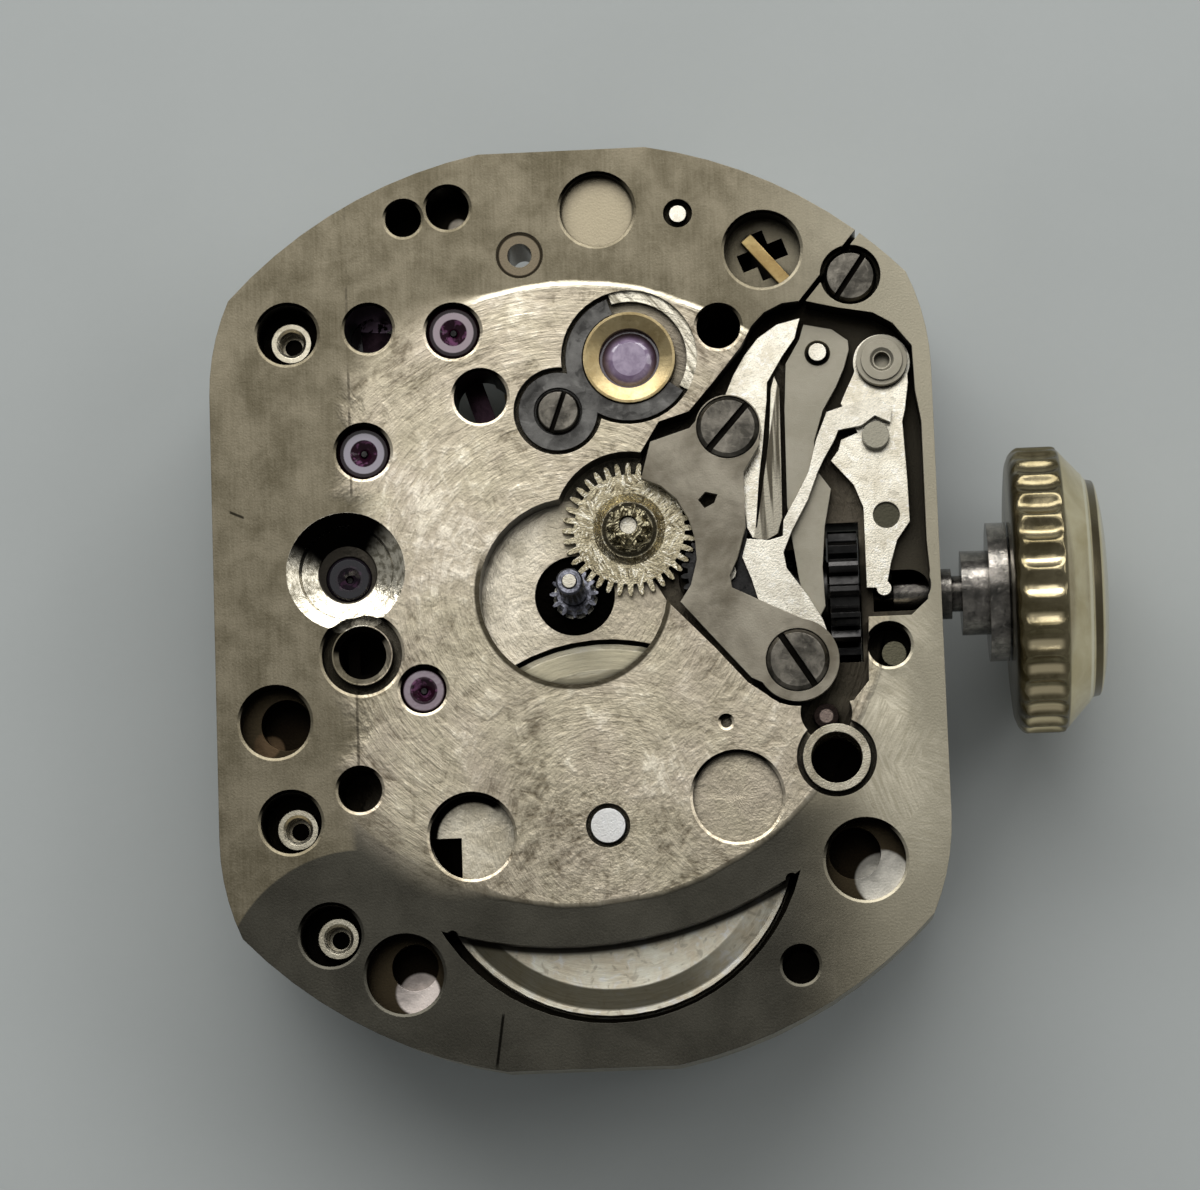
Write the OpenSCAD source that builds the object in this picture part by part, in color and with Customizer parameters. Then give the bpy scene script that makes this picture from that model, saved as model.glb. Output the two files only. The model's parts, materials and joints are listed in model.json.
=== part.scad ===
// Movement of a small tonneau-shaped mechanical watch, with its dial side up.
// Millimetres. The origin is the axis of the hands on the dial face of the main plate,
// +Z leaves the dial face, +X points to the crown and +Y to twelve o'clock.

/* [Main plate] */
// Width of the main plate from three to nine o'clock
plate_w = 11.9; // [11.8:0.05:12.2]
// Height of the main plate from six to twelve o'clock
plate_h = 15.15; // [15.1:0.05:15.6]
// Radius that the round ends of the plate are turned to
plate_round = 7.7; // [7.65:0.05:7.9]
// Radius of the corners between the round ends and the sides
plate_corner = 3.9; // [3.4:0.1:4.2]
// Thickness of the main plate
plate_t = 1.4; // [1.36:0.01:1.45]
// Middle of the plate's outline, seen from the hands
plate_mid = [0.05, -0.2]; // [-0.3:0.05:0.3]
// Depth of the recess that the keyless works lie in
keyless_depth = 0.64; // [0.64:0.01:0.68]
// Depth of the round recess about the cannon pinion
motion_depth = 0.58; // [0.57:0.01:0.62]
// Radius of the recess about the cannon pinion
centre_recess_r = 1.54; // [1.3:0.01:1.56]
// Radius of the two holes for the feet of the dial
dial_foot_r = 0.3; // [0.2:0.01:0.35]
// Middle of the dial foot hole near eleven o'clock
dial_foot_a = [-2.61, 6.34]; // [-7:0.01:7]
// Middle of the dial foot hole near five o'clock
dial_foot_b = [3.47, -6.24]; // [-7:0.01:7]

/* [Barrel] */
// Place of the barrel arbor
barrel_at = [0.44, -3.86]; // [-4:0.01:1]
// Outer radius of the barrel drum
drum_r = 3.05; // [2.95:0.01:3.08]
// Thickness of the drum's floor and wall
drum_wall = 0.12; // [0.1:0.01:0.2]
// Dial-side face of the drum, below the dial face
drum_top = 0.6; // [0.6:0.01:0.62]
// Height of the drum
drum_h = 1; // [0.98:0.01:1.02]
// Height of the toothed flange at the drum's foot
flange_h = 0.26; // [0.2:0.01:0.28]
// Radius of the barrel arbor in its bearings
arbor_r = 0.28; // [0.22:0.01:0.3]
// Radius of the arbor's hub inside the drum
arbor_hub_r = 0.85; // [0.7:0.05:0.95]
// Number of teeth on the barrel
barrel_teeth = 72; // [66:1:78]

/* [Going train] */
// Place of the third wheel
third_at = [-2.5, -1.53]; // [-3:0.01:0]
// Place of the fourth wheel
fourth_at = [-3.7, 0.4]; // [-4:0.01:1]
// Place of the escape wheel
escape_at = [-3.38, 2.45]; // [-4:0.01:3]
// Thickness of the train wheels
wheel_t = 0.1; // [0.07:0.01:0.11]
// Radius of the bodies of the train arbors
staff_r = 0.1; // [0.08:0.01:0.12]
// Radius of the train pivots
pivot_r = 0.05; // [0.04:0.005:0.06]
// Number of leaves on the centre pinion
centre_leaves = 10; // [8:1:12]
// Number of teeth on the centre wheel
centre_teeth = 64; // [60:1:72]
// Number of leaves on the third pinion
third_leaves = 8; // [7:1:10]
// Number of teeth on the third wheel
third_teeth = 60; // [54:1:66]
// Number of leaves on the fourth pinion
fourth_leaves = 8; // [7:1:10]
// Number of teeth on the fourth wheel
fourth_teeth = 70; // [60:1:80]
// Number of leaves on the escape pinion
escape_leaves = 7; // [6:1:8]

/* [Escapement] */
// Place of the pallet arbor
pallet_at = [-1.84, 4.4]; // [-2:0.01:5]
// Place of the balance staff
balance_at = [1.05, 3.85]; // [1:0.01:4]
// Radius of the escape wheel over its teeth
escape_r = 1.8; // [1.7:0.01:1.82]
// Outer radius of the balance rim
balance_r = 2.2; // [2.0:0.05:2.22]
// Width of the balance rim
rim_w = 0.26; // [0.2:0.01:0.4]
// Height of the balance rim
rim_h = 0.25; // [0.15:0.01:0.26]
// Radius of the roller on the balance staff
roller_r = 0.52; // [0.5:0.01:0.56]
// Number of turns of the hairspring
hair_turns = 7; // [4:1:8]
// Outer radius of the hairspring
hair_r = 1.25; // [1.0:0.05:1.3]

/* [Motion work] */
// Place of the minute wheel
minute_at = [0.94, 1.05]; // [0.8:0.01:1.2]
// Place of the setting wheel
setting_at = [2.52, 0.27]; // [0.2:0.01:2.6]
// Number of leaves on the cannon pinion
cannon_leaves = 12; // [10:1:14]
// Number of teeth on the minute wheel
minute_teeth = 36; // [30:1:42]
// Number of teeth on the setting wheel
setting_teeth = 24; // [20:1:26]
// Outer radius of the cannon pinion's tube, which carries the minute hand
cannon_r = 0.22; // [0.21:0.01:0.25]
// Height of the cannon pinion above the dial face
cannon_h = 1.1; // [0.8:0.05:1.3]
// Radius of the centre arbor where the cannon pinion sits on it
centre_post_r = 0.11; // [0.09:0.01:0.13]
// Radius of the centre arbor's bearing in the plate
centre_journal_r = 0.36; // [0.34:0.01:0.37]

/* [Winding and setting] */
// Height of the stem's axis, below the dial face
stem_deep = 1.3; // [1.28:0.01:1.32]
// Place of the stem's axis along the plate's height
stem_y = -0.12; // [-0.15:0.01:-0.08]
// Radius of the stem where it runs in the plate
stem_r = 0.42; // [0.36:0.01:0.44]
// Width across the flats of the stem's square
stem_square = 0.42; // [0.38:0.01:0.43]
// Travel of the stem from winding to setting
pull = 0.32; // [0.2:0.01:0.33]
// Travel of the sliding pinion towards the setting wheel
slide = 0.3; // [0.2:0.01:0.31]
// Radius of the winding pinion over its teeth
winding_r = 1.12; // [1.08:0.01:1.13]
// Radius of the sliding pinion
sliding_r = 0.7; // [0.66:0.01:0.71]
// Place of the crown wheel on the barrel bridge
crown_wheel_at = [3.2, -1.1]; // [-1.2:0.01:3.3]
// Number of teeth on the crown wheel
crown_wheel_teeth = 24; // [22:1:26]
// Number of teeth on the ratchet wheel
ratchet_teeth = 36; // [34:1:40]
// Radius of the crown over its flutes
crown_r = 2.37; // [2.0:0.01:2.5]
// Distance of the crown's inner face from the hands
crown_in = 7.15; // [7.1:0.05:7.3]
// Length of the crown's fluted band
crown_band = 0.85; // [0.7:0.05:1]
// Number of flutes round the crown
flutes = 32; // [24:1:34]

/* [Bridges] */
// Outer face of the bridges, below the dial face
bridge_deep = 2.28; // [2.27:0.01:2.3]
// Underside of the balance cock, below the dial face
cock_deep = 2.42; // [2.41:0.01:2.46]
// Thickness of the balance cock over the balance
cock_t = 0.43; // [0.35:0.01:0.5]
// Gap between one bridge and the next
bridge_gap = 0.08; // [0.04:0.01:0.12]
// Radius of the heads of the bridge screws
screw_head_r = 0.42; // [0.35:0.01:0.45]
// Radius of the shanks of the bridge screws
screw_r = 0.14; // [0.12:0.01:0.16]

/* [Clearances] */
// Radial clearance of a pivot or shaft that turns
run_gap = 0.015; // [0.01:0.005:0.03]
// Radial clearance of a piece that is pressed or seated
seat_gap = 0.005; // [0.002:0.001:0.01]
// Clearance round pieces that slide past one another
slide_gap = 0.04; // [0.03:0.005:0.06]

/* [Hidden] */

// Colours of the metals and stones
nickel = [0.67, 0.64, 0.57];
brass = [0.72, 0.6, 0.36];
steel = [0.72, 0.72, 0.7];
dark_steel = [0.22, 0.22, 0.24];
gold = [0.66, 0.55, 0.3];
ruby = [0.55, 0.2, 0.42];
blue_steel = [0.2, 0.26, 0.45];

// Roundness of the bores and shafts, and how far a cut runs past a face
fine = 64;
cut = 0.2;
centre_at = [0, 0];
stem_z = -stem_deep;

// Levels, from the dial face down
plate_z = -plate_t;
keyless_z = -keyless_depth;
motion_z = -motion_depth;
cover_t = 0.18;
lever_spring_z = -0.22;
lever_spring_t = 0.16;
lever_z = lever_spring_z - lever_spring_t - slide_gap;
lever_t = 0.18;
drum_z = -drum_top;
drum_foot_z = drum_z - drum_h;
flange_z = drum_foot_z + flange_h;
centre_wheel_z = drum_foot_z - 0.08;
third_wheel_z = centre_wheel_z - wheel_t - 0.08;
fourth_wheel_z = -0.85;
escape_wheel_z = -1.18;
fork_z = -1.17;
fork_t = 0.14;
roller_z = plate_z - 0.02;
rim_z = -1.85;
hair_z = -2.2;
bridge_z = -bridge_deep;
cock_z = -cock_deep;
cock_end_z = cock_z - cock_t;
winding_z = bridge_z - 0.03;
winding_t = 0.2;
minute_wheel_z = -0.42;
minute_wheel_t = 0.12;
leaves_top_z = minute_wheel_z + 0.12;
hand_seat_z = -0.08;
post_taper = 0.01;

// Pockets about the moving pieces
drum_pocket_z = drum_z + 0.05;
drum_pocket_r = drum_r + 0.07;
drum_face_r = drum_r - 0.43;
drum_lip = 0.06;
flange_pocket_z = flange_z + 0.05;
balance_room = balance_r + 0.1;
escape_room = escape_r + 0.1;
wheel_room = 0.1;

// Places on the dial side, each beside its radius and, where it is blind, its depth
jewel_r = 0.45;
jewel_bevel = 0.05;
third_jewel_r = 0.38;
hole_bevel_w = 0.05;
hole_bevel = 0.02;
fourth_sink_at = [-3.72, 0.48];
fourth_sink = [[0.98, -0.001], [0.78, 0.08], [0.75, 0.25], [0.47, 0.36]];
ring_hole_at = [-3.49, -0.91];
ring_hole_r = 0.39;
ring_lip_r = 0.5;
ring_groove_r = 0.66;
open_holes = [
    [2.54, 4.29, 0.36], [-3.24, 4.51, 0.4], [-1.42, 3.29, 0.44]];
blind_holes = [
    [-1.87, 6.49, 0.36, 1.2],
    [0.6, 6.35, 0.61, 0.2], [2.56, -3.48, 0.73, 0.14], [-1.78, -3.96, 0.69, 0.3],
    [3.31, 5.55, 0.63, 0.45], [-4.94, -1.97, 0.58, 0.35], [4.59, -4.58, 0.65, 0.35],
    [-2.93, -6.16, 0.63, 0.35], [5.12, -1.1, 0.35, 0.8], [2.42, -2.25, 0.09, 0.14],
    [-3.58, -3.13, 0.36, 1.2]];
deep_holes = [[-4.79, -1.98, 0.42], [4.42, -4.44, 0.42], [-2.79, -6.03, 0.38]];
rimmed_places = [
    [-1.84, 4.4, 0.45], [-3.38, 2.45, 0.45], [-2.5, -1.53, 0.38], [-3.49, -0.91, 0.66],
    [-2.61, 6.34, 0.3], [3.47, -6.24, 0.3], [-4.59, 4.47, 0.5], [-4.72, -3.62, 0.5],
    [-4.12, -5.48, 0.5]];
pocket_window_at = [-1.78, -3.96];
pocket_window_r = 0.68;
pocket_window_corner = [-1.97, -3.95];
foot_window_at = [3.31, 5.55];
foot_window = [0.3, 0.8];
bush_at = [-0.7, 5.64];
bush_r = 0.39;
cock_screw_at = [1.94, 6.23];
corner_at = [4.74, 5.07];
corner_head_r = 0.43;
slit_from = [4.93, 5.84];
slit_to = [3.8, 4.5];
slit_w = 0.09;
big_tube_at = [4.19, -2.89];
big_tube_r = 0.55;
big_tube_wall = 0.13;
bridge_pin_at = [4.05, -2.16];
side_pin_at = [5.2, -1.17];

// Places of the bridge screws, with the wells in which their tubes stand
train_screws = [[-4.58, 4.43], [-4.94, -1.97]];
barrel_screws = [[-4.67, -3.69], [-4.05, -5.5], [4.59, -4.58]];
tube_wells = [[-4.59, 4.47], [-4.72, -3.62], [-4.12, -5.48]];
tube_spots = [[-4.58, 4.43], [-4.67, -3.69], [-4.05, -5.5]];
well_r = 0.5;
well_z = -0.95;
tube_r = 0.33;
tube_mouth_r = 0.2;
tube_end_z = -0.55;
screw_tip_z = -1.05;

// The balance's lower endpiece
endpiece_at = [1.05, 3.85];
endpiece_r = 1.12;
endpiece_screw_at = [-0.15, 3];
endpiece_lobe_r = 0.73;
endpiece_slot_turn = 70;
endpiece_depth = 0.24;
endpiece_open = [-34, 37, 109];
endpiece_ledge_r = 0.95;
endpiece_ledge_z = -0.1;
chaton_r = 0.76;
cap_r = 0.5;

// The barrel window, between an arc about the barrel and a wider one
window_r = 3.2;
window_top_at = [-0.22, 1.15];
window_top_r = 6.95;
window_end_r = 0.1;
window_end_turns = [213.5, -18.5];

// The keyless works
cover_upper_at = [2.63, 2.61];
cover_lower_at = [3.62, -1.28];
cover_upper_r = 0.54;
cover_lower_r = 0.68;
cover_head_r = 0.5;
lever_axle_at = [5.2, 3.66];
lever_axle_r = 0.34;
lever_stud_at = [5.05, 2.41];
lever_stud_r = 0.22;
lever_sink_at = [5.17, 1.11];
lever_sink_r = 0.22;
yoke_at = [4.15, 3.86];
yoke_post_r = 0.145;
setting_wheel_z = -0.45;
setting_wheel_t = 0.25;
setting_floor_z = -0.72;
post_foot_z = -0.95;
minute_post_r = 0.14;
minute_sink_r = 0.6;
setting_post_r = 0.15;
slot_in = [4.16, 4.7];
winding_x = [4.19, 4.67];
sliding_x = [3.3, 4.16];
sliding_room_x = 2.82;
groove_x = [3.8, 4.02];
groove_r = 0.42;
stem_groove_x = [4.92, 5.24];
stem_groove_r = 0.24;
stem_pilot_r = 0.19;
stem_pilot_x = 2.0;
stem_shoulder_x = 6.2;
stem_end_x = 6.7;
crown_hub_x = [6.36, 6.8, 7.12];
crown_hub_r = 0.7;
crown_flange_r = 1.15;
crown_bore_r = 0.9;
crown_bore_depth = 0.5;
stem_neck_r = 0.3;
stem_window_x = [4.9, 5.5];
stem_window_r = 0.34;

recess_outline = [
    [1.5, 2.75], [2.0, 2.9], [2.4, 3.35], [2.9, 3.95], [3.08, 4.28], [3.3, 4.5], [3.6, 4.64],
    [3.95, 4.67], [4.5, 4.53], [5.08, 4.42], [5.4, 4.23], [5.7, 3.84], [5.72, 3.1],
    [5.8, 2.58], [5.8, 0.6], [5.83, 0.1], [5.78, -0.37], [5.5, -0.62], [4.8, -0.62],
    [4.76, -1.67], [4.5, -1.98], [3.9, -2.05], [3.3, -1.98], [2.8, -1.62], [2.28, -1.02],
    [1.6, -0.3], [1.2, 0.4], [0.9, 1.8]];
cover_outline = [
    [1.35, 2.42], [2.0, 2.62], [2.35, 3.0], [3.1, 2.9], [3.14, 2.3], [2.86, 1.85],
    [2.86, 0.95], [2.7, 0.42], [2.57, 0.15], [2.6, -0.05], [3.0, -0.25], [3.75, -0.62],
    [4.2, -1.0], [3.6, -1.9], [2.86, -1.54], [2.33, -0.93], [1.75, -0.25], [1.93, 0.02],
    [2.04, 0.43], [2.02, 0.8], [1.93, 1.12], [1.75, 1.45], [1.5, 1.68], [1.18, 1.82]];
lever_spring_outline = [
    [5.1, 3.05], [5.33, 2.85], [5.3, 2.62], [5.21, 2.66], [5.05, 2.74], [4.82, 2.58],
    [4.44, 2.52], [4.37, 2.36], [4.17, 2.03], [4.07, 1.83], [3.89, 1.38], [3.61, 0.88],
    [3.46, 0.53], [3.5, 0.27], [3.84, -0.22], [4.06, -0.61], [4.18, -1.0], [3.66, -1.06],
    [3.18, -0.84], [3.01, -0.21], [2.92, 0.11], [2.78, 0.48], [2.87, 0.78], [3.23, 0.74],
    [3.46, 0.8], [3.48, 1.06], [3.72, 1.47], [3.92, 1.84], [4.07, 2.38], [4.26, 2.83],
    [4.69, 2.96]];
lever_outline = [
    [4.8, 3.9], [4.74, 3.5], [4.6, 3.22], [4.5, 3], [4.76, 2.5], [4.48, 2.39], [4.43, 2.22],
    [4.3, 2.05], [4.66, 1.63], [4.8, 1.25], [4.8, -0.08], [5.12, -0.1], [5.21, 0.31],
    [5.33, 0.69], [5.55, 0.99], [5.54, 1.68], [5.5, 2.66], [5.55, 2.85], [5.62, 3.3],
    [5.62, 3.69]];
yoke_outline = [
    [3.94, 4.35], [4.4, 4.25], [4.66, 4.05], [4.67, 3.9], [4.58, 3.6], [4.43, 3.28],
    [4.2, 2.9], [4.04, 2.4], [4.02, 1.95], [4.28, 1.58], [4.15, 0.95], [4.09, 0.29],
    [4.11, -0.36], [4.02, -0.52], [3.8, -0.45], [3.7, 0.1], [3.61, 0.76], [3.55, 1.34],
    [3.57, 2.92], [3.62, 3.7], [3.86, 4.1]];
spring_root_outline = [
    [3.88, 4.46], [3.5, 4.37], [3.17, 4.15], [2.95, 3.88], [2.75, 3.55], [2.55, 3.1],
    [2.1, 2.75], [2.2, 2.2], [2.86, 1.95], [2.84, 1.5], [2.88, 0.98], [3.02, 0.98],
    [3.1, 1.78], [3.18, 2.3], [3.24, 2.79], [3.28, 3.1], [3.3, 3.4], [3.46, 3.66],
    [3.57, 3.84], [3.78, 4.12]];
spring_blade_outline = [
    [2.88, 0.99], [2.96, 0.83], [3.16, 0.76], [3.38, 0.88], [3.46, 1.14], [3.48, 2.05],
    [3.5, 3.3], [3.42, 3.5], [3.36, 3.3], [3.3, 2.5], [3.23, 2.07], [3.04, 0.99]];

// Pieces of the train bridge, the barrel bridge and the cocks, seen from the dial side
split_line = [
    [-6.2, -2.8], [-3.4, -2.8], [-1.9, -2.35], [-0.7, -1.4], [0.4, -0.85], [0.95, -0.35],
    [1.05, 0.3], [0.85, 0.9]];
train_top_line = [
    [-0.6, 1.6], [-1.9, 2.3], [-2.6, 3.2], [-3.9, 3.6], [-3.9, 4.3], [-3, 4.75], [-2.3, 5.3],
    [-1.95, 5.95], [-1.95, 8], [-6.2, 8]];
pallet_cock_t = 0.4;
barrel_top_line = [[1.6, 1.3], [6.4, 1.3], [6.4, -8], [-6.2, -8]];
pallet_foot_at = [-2.9, 5.55];
click_at = [-2.11, -5.61];
click_screw_r = 0.11;
click_screw_long = 0.5;
click_slot_turn = 80;
collet_r = 0.27;
hair_blade = 0.03;
hair_h = 0.1;
hair_in = collet_r + hair_blade/2 + seat_gap;
hair_pitch = (hair_r - hair_in)/hair_turns;
hair_stud_angle = 148;
hair_stud_r = 0.09;
regulator_angle = 235;

// Distance, direction and pitch radius between two arbors, and how a gear is turned
// so that its teeth fall between those of the gear that it meets
function distance(a, b) = norm(b - a);
function heading(a, b) = atan2(b[1] - a[1], b[0] - a[0]);
function pitch_r(a, b, own, other) = distance(a, b)*own/(own + other);
function meshed(way, phase, other, own) = way + 180 + 180/own - (phase - way)*other/own;
function polar(at, r, a) = [at[0] + r*cos(a), at[1] + r*sin(a)];

hair_stud_at = polar(balance_at, hair_r, hair_stud_angle);

barrel_pitch = pitch_r(centre_at, barrel_at, barrel_teeth, centre_leaves);
centre_leaf_pitch = pitch_r(centre_at, barrel_at, centre_leaves, barrel_teeth);
centre_pitch = pitch_r(centre_at, third_at, centre_teeth, third_leaves);
third_leaf_pitch = pitch_r(centre_at, third_at, third_leaves, centre_teeth);
third_pitch = pitch_r(third_at, fourth_at, third_teeth, fourth_leaves);
fourth_leaf_pitch = pitch_r(third_at, fourth_at, fourth_leaves, third_teeth);
fourth_pitch = pitch_r(fourth_at, escape_at, fourth_teeth, escape_leaves);
escape_leaf_pitch = pitch_r(fourth_at, escape_at, escape_leaves, fourth_teeth);
cannon_pitch = pitch_r(centre_at, minute_at, cannon_leaves, minute_teeth);
minute_pitch = pitch_r(centre_at, minute_at, minute_teeth, cannon_leaves);
setting_pitch = distance(minute_at, setting_at) - minute_pitch;
crown_wheel_pitch = pitch_r(crown_wheel_at, barrel_at, crown_wheel_teeth, ratchet_teeth);
ratchet_pitch = pitch_r(crown_wheel_at, barrel_at, ratchet_teeth, crown_wheel_teeth);
flange_room = barrel_pitch + 2.2*barrel_pitch/barrel_teeth + 0.07;
minute_phase = meshed(heading(centre_at, minute_at), 0, cannon_leaves, minute_teeth);

// The pallets reach the escape wheel where tangents from the pallet arbor touch it
stone_spread = acos(escape_r/distance(escape_at, pallet_at));
stone_angles = [for (side = [1, -1]) heading(escape_at, pallet_at) + side*stone_spread];
stone_gap = 0.03;
stone_size = [0.5, 0.24];
fork_slot_from = 0.4;
impulse_at_r = 0.42;

// Teeth are drawn by their half widths in pitches at the root, the pitch line and the tip
wheel_tooth = [[-0.28, -1], [-0.23, 0], [-0.09, 0.9], [0.09, 0.9], [0.23, 0], [0.28, -1]];
leaf_tooth = [[-0.22, -1.1], [-0.19, 0], [-0.08, 0.8], [0.08, 0.8], [0.19, 0], [0.22, -1.1]];
minute_tooth = [[-0.31, -2.4], [-0.23, 0], [-0.09, 0.9], [0.09, 0.9], [0.23, 0], [0.31, -2.4]];
ratchet_tooth = [[-0.3, -0.9], [-0.24, 0], [-0.1, 0.85], [0.08, 0.85], [0.24, 0], [0.3, -0.9]];
escape_tooth = [[-0.4, 0.806], [-0.12, 0.967], [0.045, 1], [-0.03, 0.822]];

module gear(teeth, pitch, phase = 0, form = wheel_tooth) {
    size = 2*pitch/teeth;
    polygon([for (i = [0:teeth - 1], p = form)
        polar([0, 0], pitch + size*p[1], phase + (i + p[0])*360/teeth)]);
}

module spokes_cut(count, hub, rim, width) {
    difference() {
        circle(rim, $fn = fine);
        circle(hub, $fn = fine);
        for (i = [0:count - 1]) rotate(i*360/count) translate([0, -width/2]) square([rim, width]);
    }
}

module slab(top, bottom) {
    translate([0, 0, bottom]) linear_extrude(top - bottom) children();
}

module disc(at, r, top, bottom) {
    translate([at[0], at[1], bottom]) cylinder(r = r, h = top - bottom, $fn = fine);
}

module ring(at, r, hole, top, bottom) {
    difference() {
        disc(at, r, top, bottom);
        disc(at, hole, top + cut, bottom - cut);
    }
}

module cone(at, top_r, bottom_r, top, bottom) {
    translate([at[0], at[1], bottom]) cylinder(r1 = bottom_r, r2 = top_r, h = top - bottom, $fn = fine);
}

// A bar in the plane from one point to another, with its own width at each end
module bar(a, b, wide_a, wide_b) {
    way = heading(a, b) + 90;
    polygon([polar(a, wide_a/2, way), polar(a, -wide_a/2, way),
        polar(b, -wide_b/2, way), polar(b, wide_b/2, way)]);
}

// A screw whose slotted face may look up or down
module screw(at, head, face, seat, shank, tip, slot = 30) {
    slot_w = 0.22*head;
    slot_depth = 0.65*abs(face - seat);
    bevel = 0.12*head;
    difference() {
        union() {
            if (face > seat) {
                disc(at, head, face - bevel, seat);
                cone(at, head - bevel, head, face, face - bevel);
            } else {
                disc(at, head, seat, face + bevel);
                cone(at, head, head - bevel, face + bevel, face);
            }
            disc(at, shank, max(seat, tip), min(seat, tip));
        }
        translate([at[0], at[1], face]) rotate(slot)
            cube([3*head, slot_w, 2*slot_depth], center = true);
    }
}

// A pierced jewel with an oil sink on the dial side, or below if it is turned over
module jewel(at, r, top, bottom, sink_up = true) {
    sink = 0.5*r;
    difference() {
        union() {
            disc(at, r - seat_gap, sink_up ? top - jewel_bevel : top,
                sink_up ? bottom : bottom + jewel_bevel);
            if (sink_up) cone(at, r - seat_gap - jewel_bevel, r - seat_gap, top, top - jewel_bevel);
            else cone(at, r - seat_gap, r - seat_gap - jewel_bevel, bottom + jewel_bevel, bottom);
        }
        disc(at, pivot_r + run_gap, top + cut, bottom - cut);
        if (sink_up) cone(at, sink, pivot_r + run_gap, top + 0.001, top - 0.1);
        else cone(at, pivot_r + run_gap, sink, bottom + 0.1, bottom - 0.001);
    }
}

// A train arbor: its pivots, its body and the seat of its wheel
module arbor(at, top, bottom, shoulder = 0.26) {
    disc(at, pivot_r, top, bottom);
    disc(at, staff_r, top - shoulder, bottom + shoulder);
}

module train_wheel(at, teeth, pitch, top, phase = 0) {
    translate([at[0], at[1], top - wheel_t]) linear_extrude(wheel_t) difference() {
        gear(teeth, pitch, phase);
        spokes_cut(4, 0.2*pitch + 0.1, 0.82*pitch, 0.1*pitch);
        circle(staff_r + seat_gap, $fn = fine);
    }
}

module pinion(at, leaves, pitch, top, bottom, phase = 0) {
    translate([at[0], at[1], bottom]) linear_extrude(top - bottom)
        gear(leaves, pitch, phase, leaf_tooth);
}

// A cylinder along the stem, from one distance to another
module along_stem(r, from, to) {
    translate([from, stem_y, stem_z]) rotate([0, 90, 0]) cylinder(r = r, h = to - from, $fn = fine);
}

module plate_outline(inset = 0) {
    translate(plate_mid) intersection() {
        union() {
            square([plate_w - 2*inset, plate_h - 2*plate_corner], center = true);
            square([plate_w - 2*plate_corner, plate_h - 2*inset], center = true);
            for (x = [-1, 1], y = [-1, 1])
                translate([x*(plate_w/2 - plate_corner), y*(plate_h/2 - plate_corner)])
                    circle(plate_corner - inset, $fn = 96);
        }
        circle(plate_round - inset, $fn = 96);
    }
}

// Everything that the winding stem and its pinions need to turn in
module stem_room(bottom) {
    along_stem(stem_r + 0.04, slot_in[1] - 0.1, plate_w);
    along_stem(stem_pilot_r + run_gap, stem_pilot_x - 0.1, sliding_room_x + 0.1);
    slab(keyless_z + cut, bottom) {
        translate([slot_in[0], stem_y - winding_r - slide_gap])
            square([slot_in[1] - slot_in[0], 2*(winding_r + slide_gap)]);
        translate([sliding_room_x, stem_y - sliding_r - slide_gap])
            square([slot_in[0] - sliding_room_x, 2*(sliding_r + slide_gap)]);
    }
}

// Pockets of the barrel and of the wheels that run between plate and bridges
module train_room() {
    disc(barrel_at, flange_room, flange_pocket_z, drum_foot_z - 0.03);
    disc(centre_at, centre_pitch + wheel_room, plate_z + cut, centre_wheel_z - wheel_t - 0.05);
    disc(third_at, third_pitch + wheel_room, plate_z + cut, third_wheel_z - wheel_t - 0.05);
    disc(fourth_at, fourth_leaf_pitch + 0.15, plate_z + cut, third_wheel_z - wheel_t - 0.12);
}

module balance_room_cut(bottom) {
    disc(balance_at, balance_room, plate_z + cut, bottom);
}

module window_outline() {
    difference() {
        translate(barrel_at) circle(window_r, $fn = 96);
        translate(window_top_at) circle(window_top_r, $fn = 96);
    }
    for (a = window_end_turns)
        translate(polar(barrel_at, window_r - window_end_r, a)) circle(window_end_r, $fn = fine);
}

module fork_room() {
    slab(fork_z + 0.06, plate_z - cut) {
        bar(pallet_at, balance_at, 0.8, 0.9);
        for (a = stone_angles) bar(pallet_at, polar(escape_at, escape_r + 0.25, a), 0.6, 0.9);
    }
    for (a = stone_angles) disc(polar(escape_at, escape_r + stone_gap + stone_size[0]/2, a),
        stone_size[0], fork_z + 0.06, plate_z - cut);
    disc(pallet_at, 0.5, fork_z + 0.06, plate_z - cut);
    disc(balance_at, roller_r + 0.12, fork_z + 0.06, plate_z - cut);
}

// The sector that the lower endpiece leaves open about the chaton
module endpiece_opening(inset) {
    translate(balance_at) polygon([[0, 0], polar([0, 0], 2, endpiece_open[0] + inset),
        polar([0, 0], 2, endpiece_open[1]), polar([0, 0], 2, endpiece_open[2] - inset)]);
}

module keyless_recess() {
    difference() {
        slab(cut, keyless_z) {
            polygon(recess_outline);
            translate(bridge_pin_at) circle(0.42, $fn = fine);
            translate(cover_lower_at) circle(cover_lower_r + 0.08, $fn = fine);
        }
        disc(cover_lower_at, cover_lower_r - 0.06, lever_spring_z - lever_spring_t, -1);
    }
    disc(minute_at, minute_pitch + 0.17, cut, motion_z);
    disc(setting_at, setting_pitch + 0.1, cut, setting_floor_z);
    disc(big_tube_at, big_tube_r + 0.1, cut, -0.3);
    slab(cut, stem_z) {
        translate([stem_window_x[0], stem_y - stem_window_r])
            square([stem_window_x[1] - stem_window_x[0], 2*stem_window_r]);
        translate([stem_window_x[1], stem_y]) circle(stem_window_r, $fn = fine);
    }
}

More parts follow.
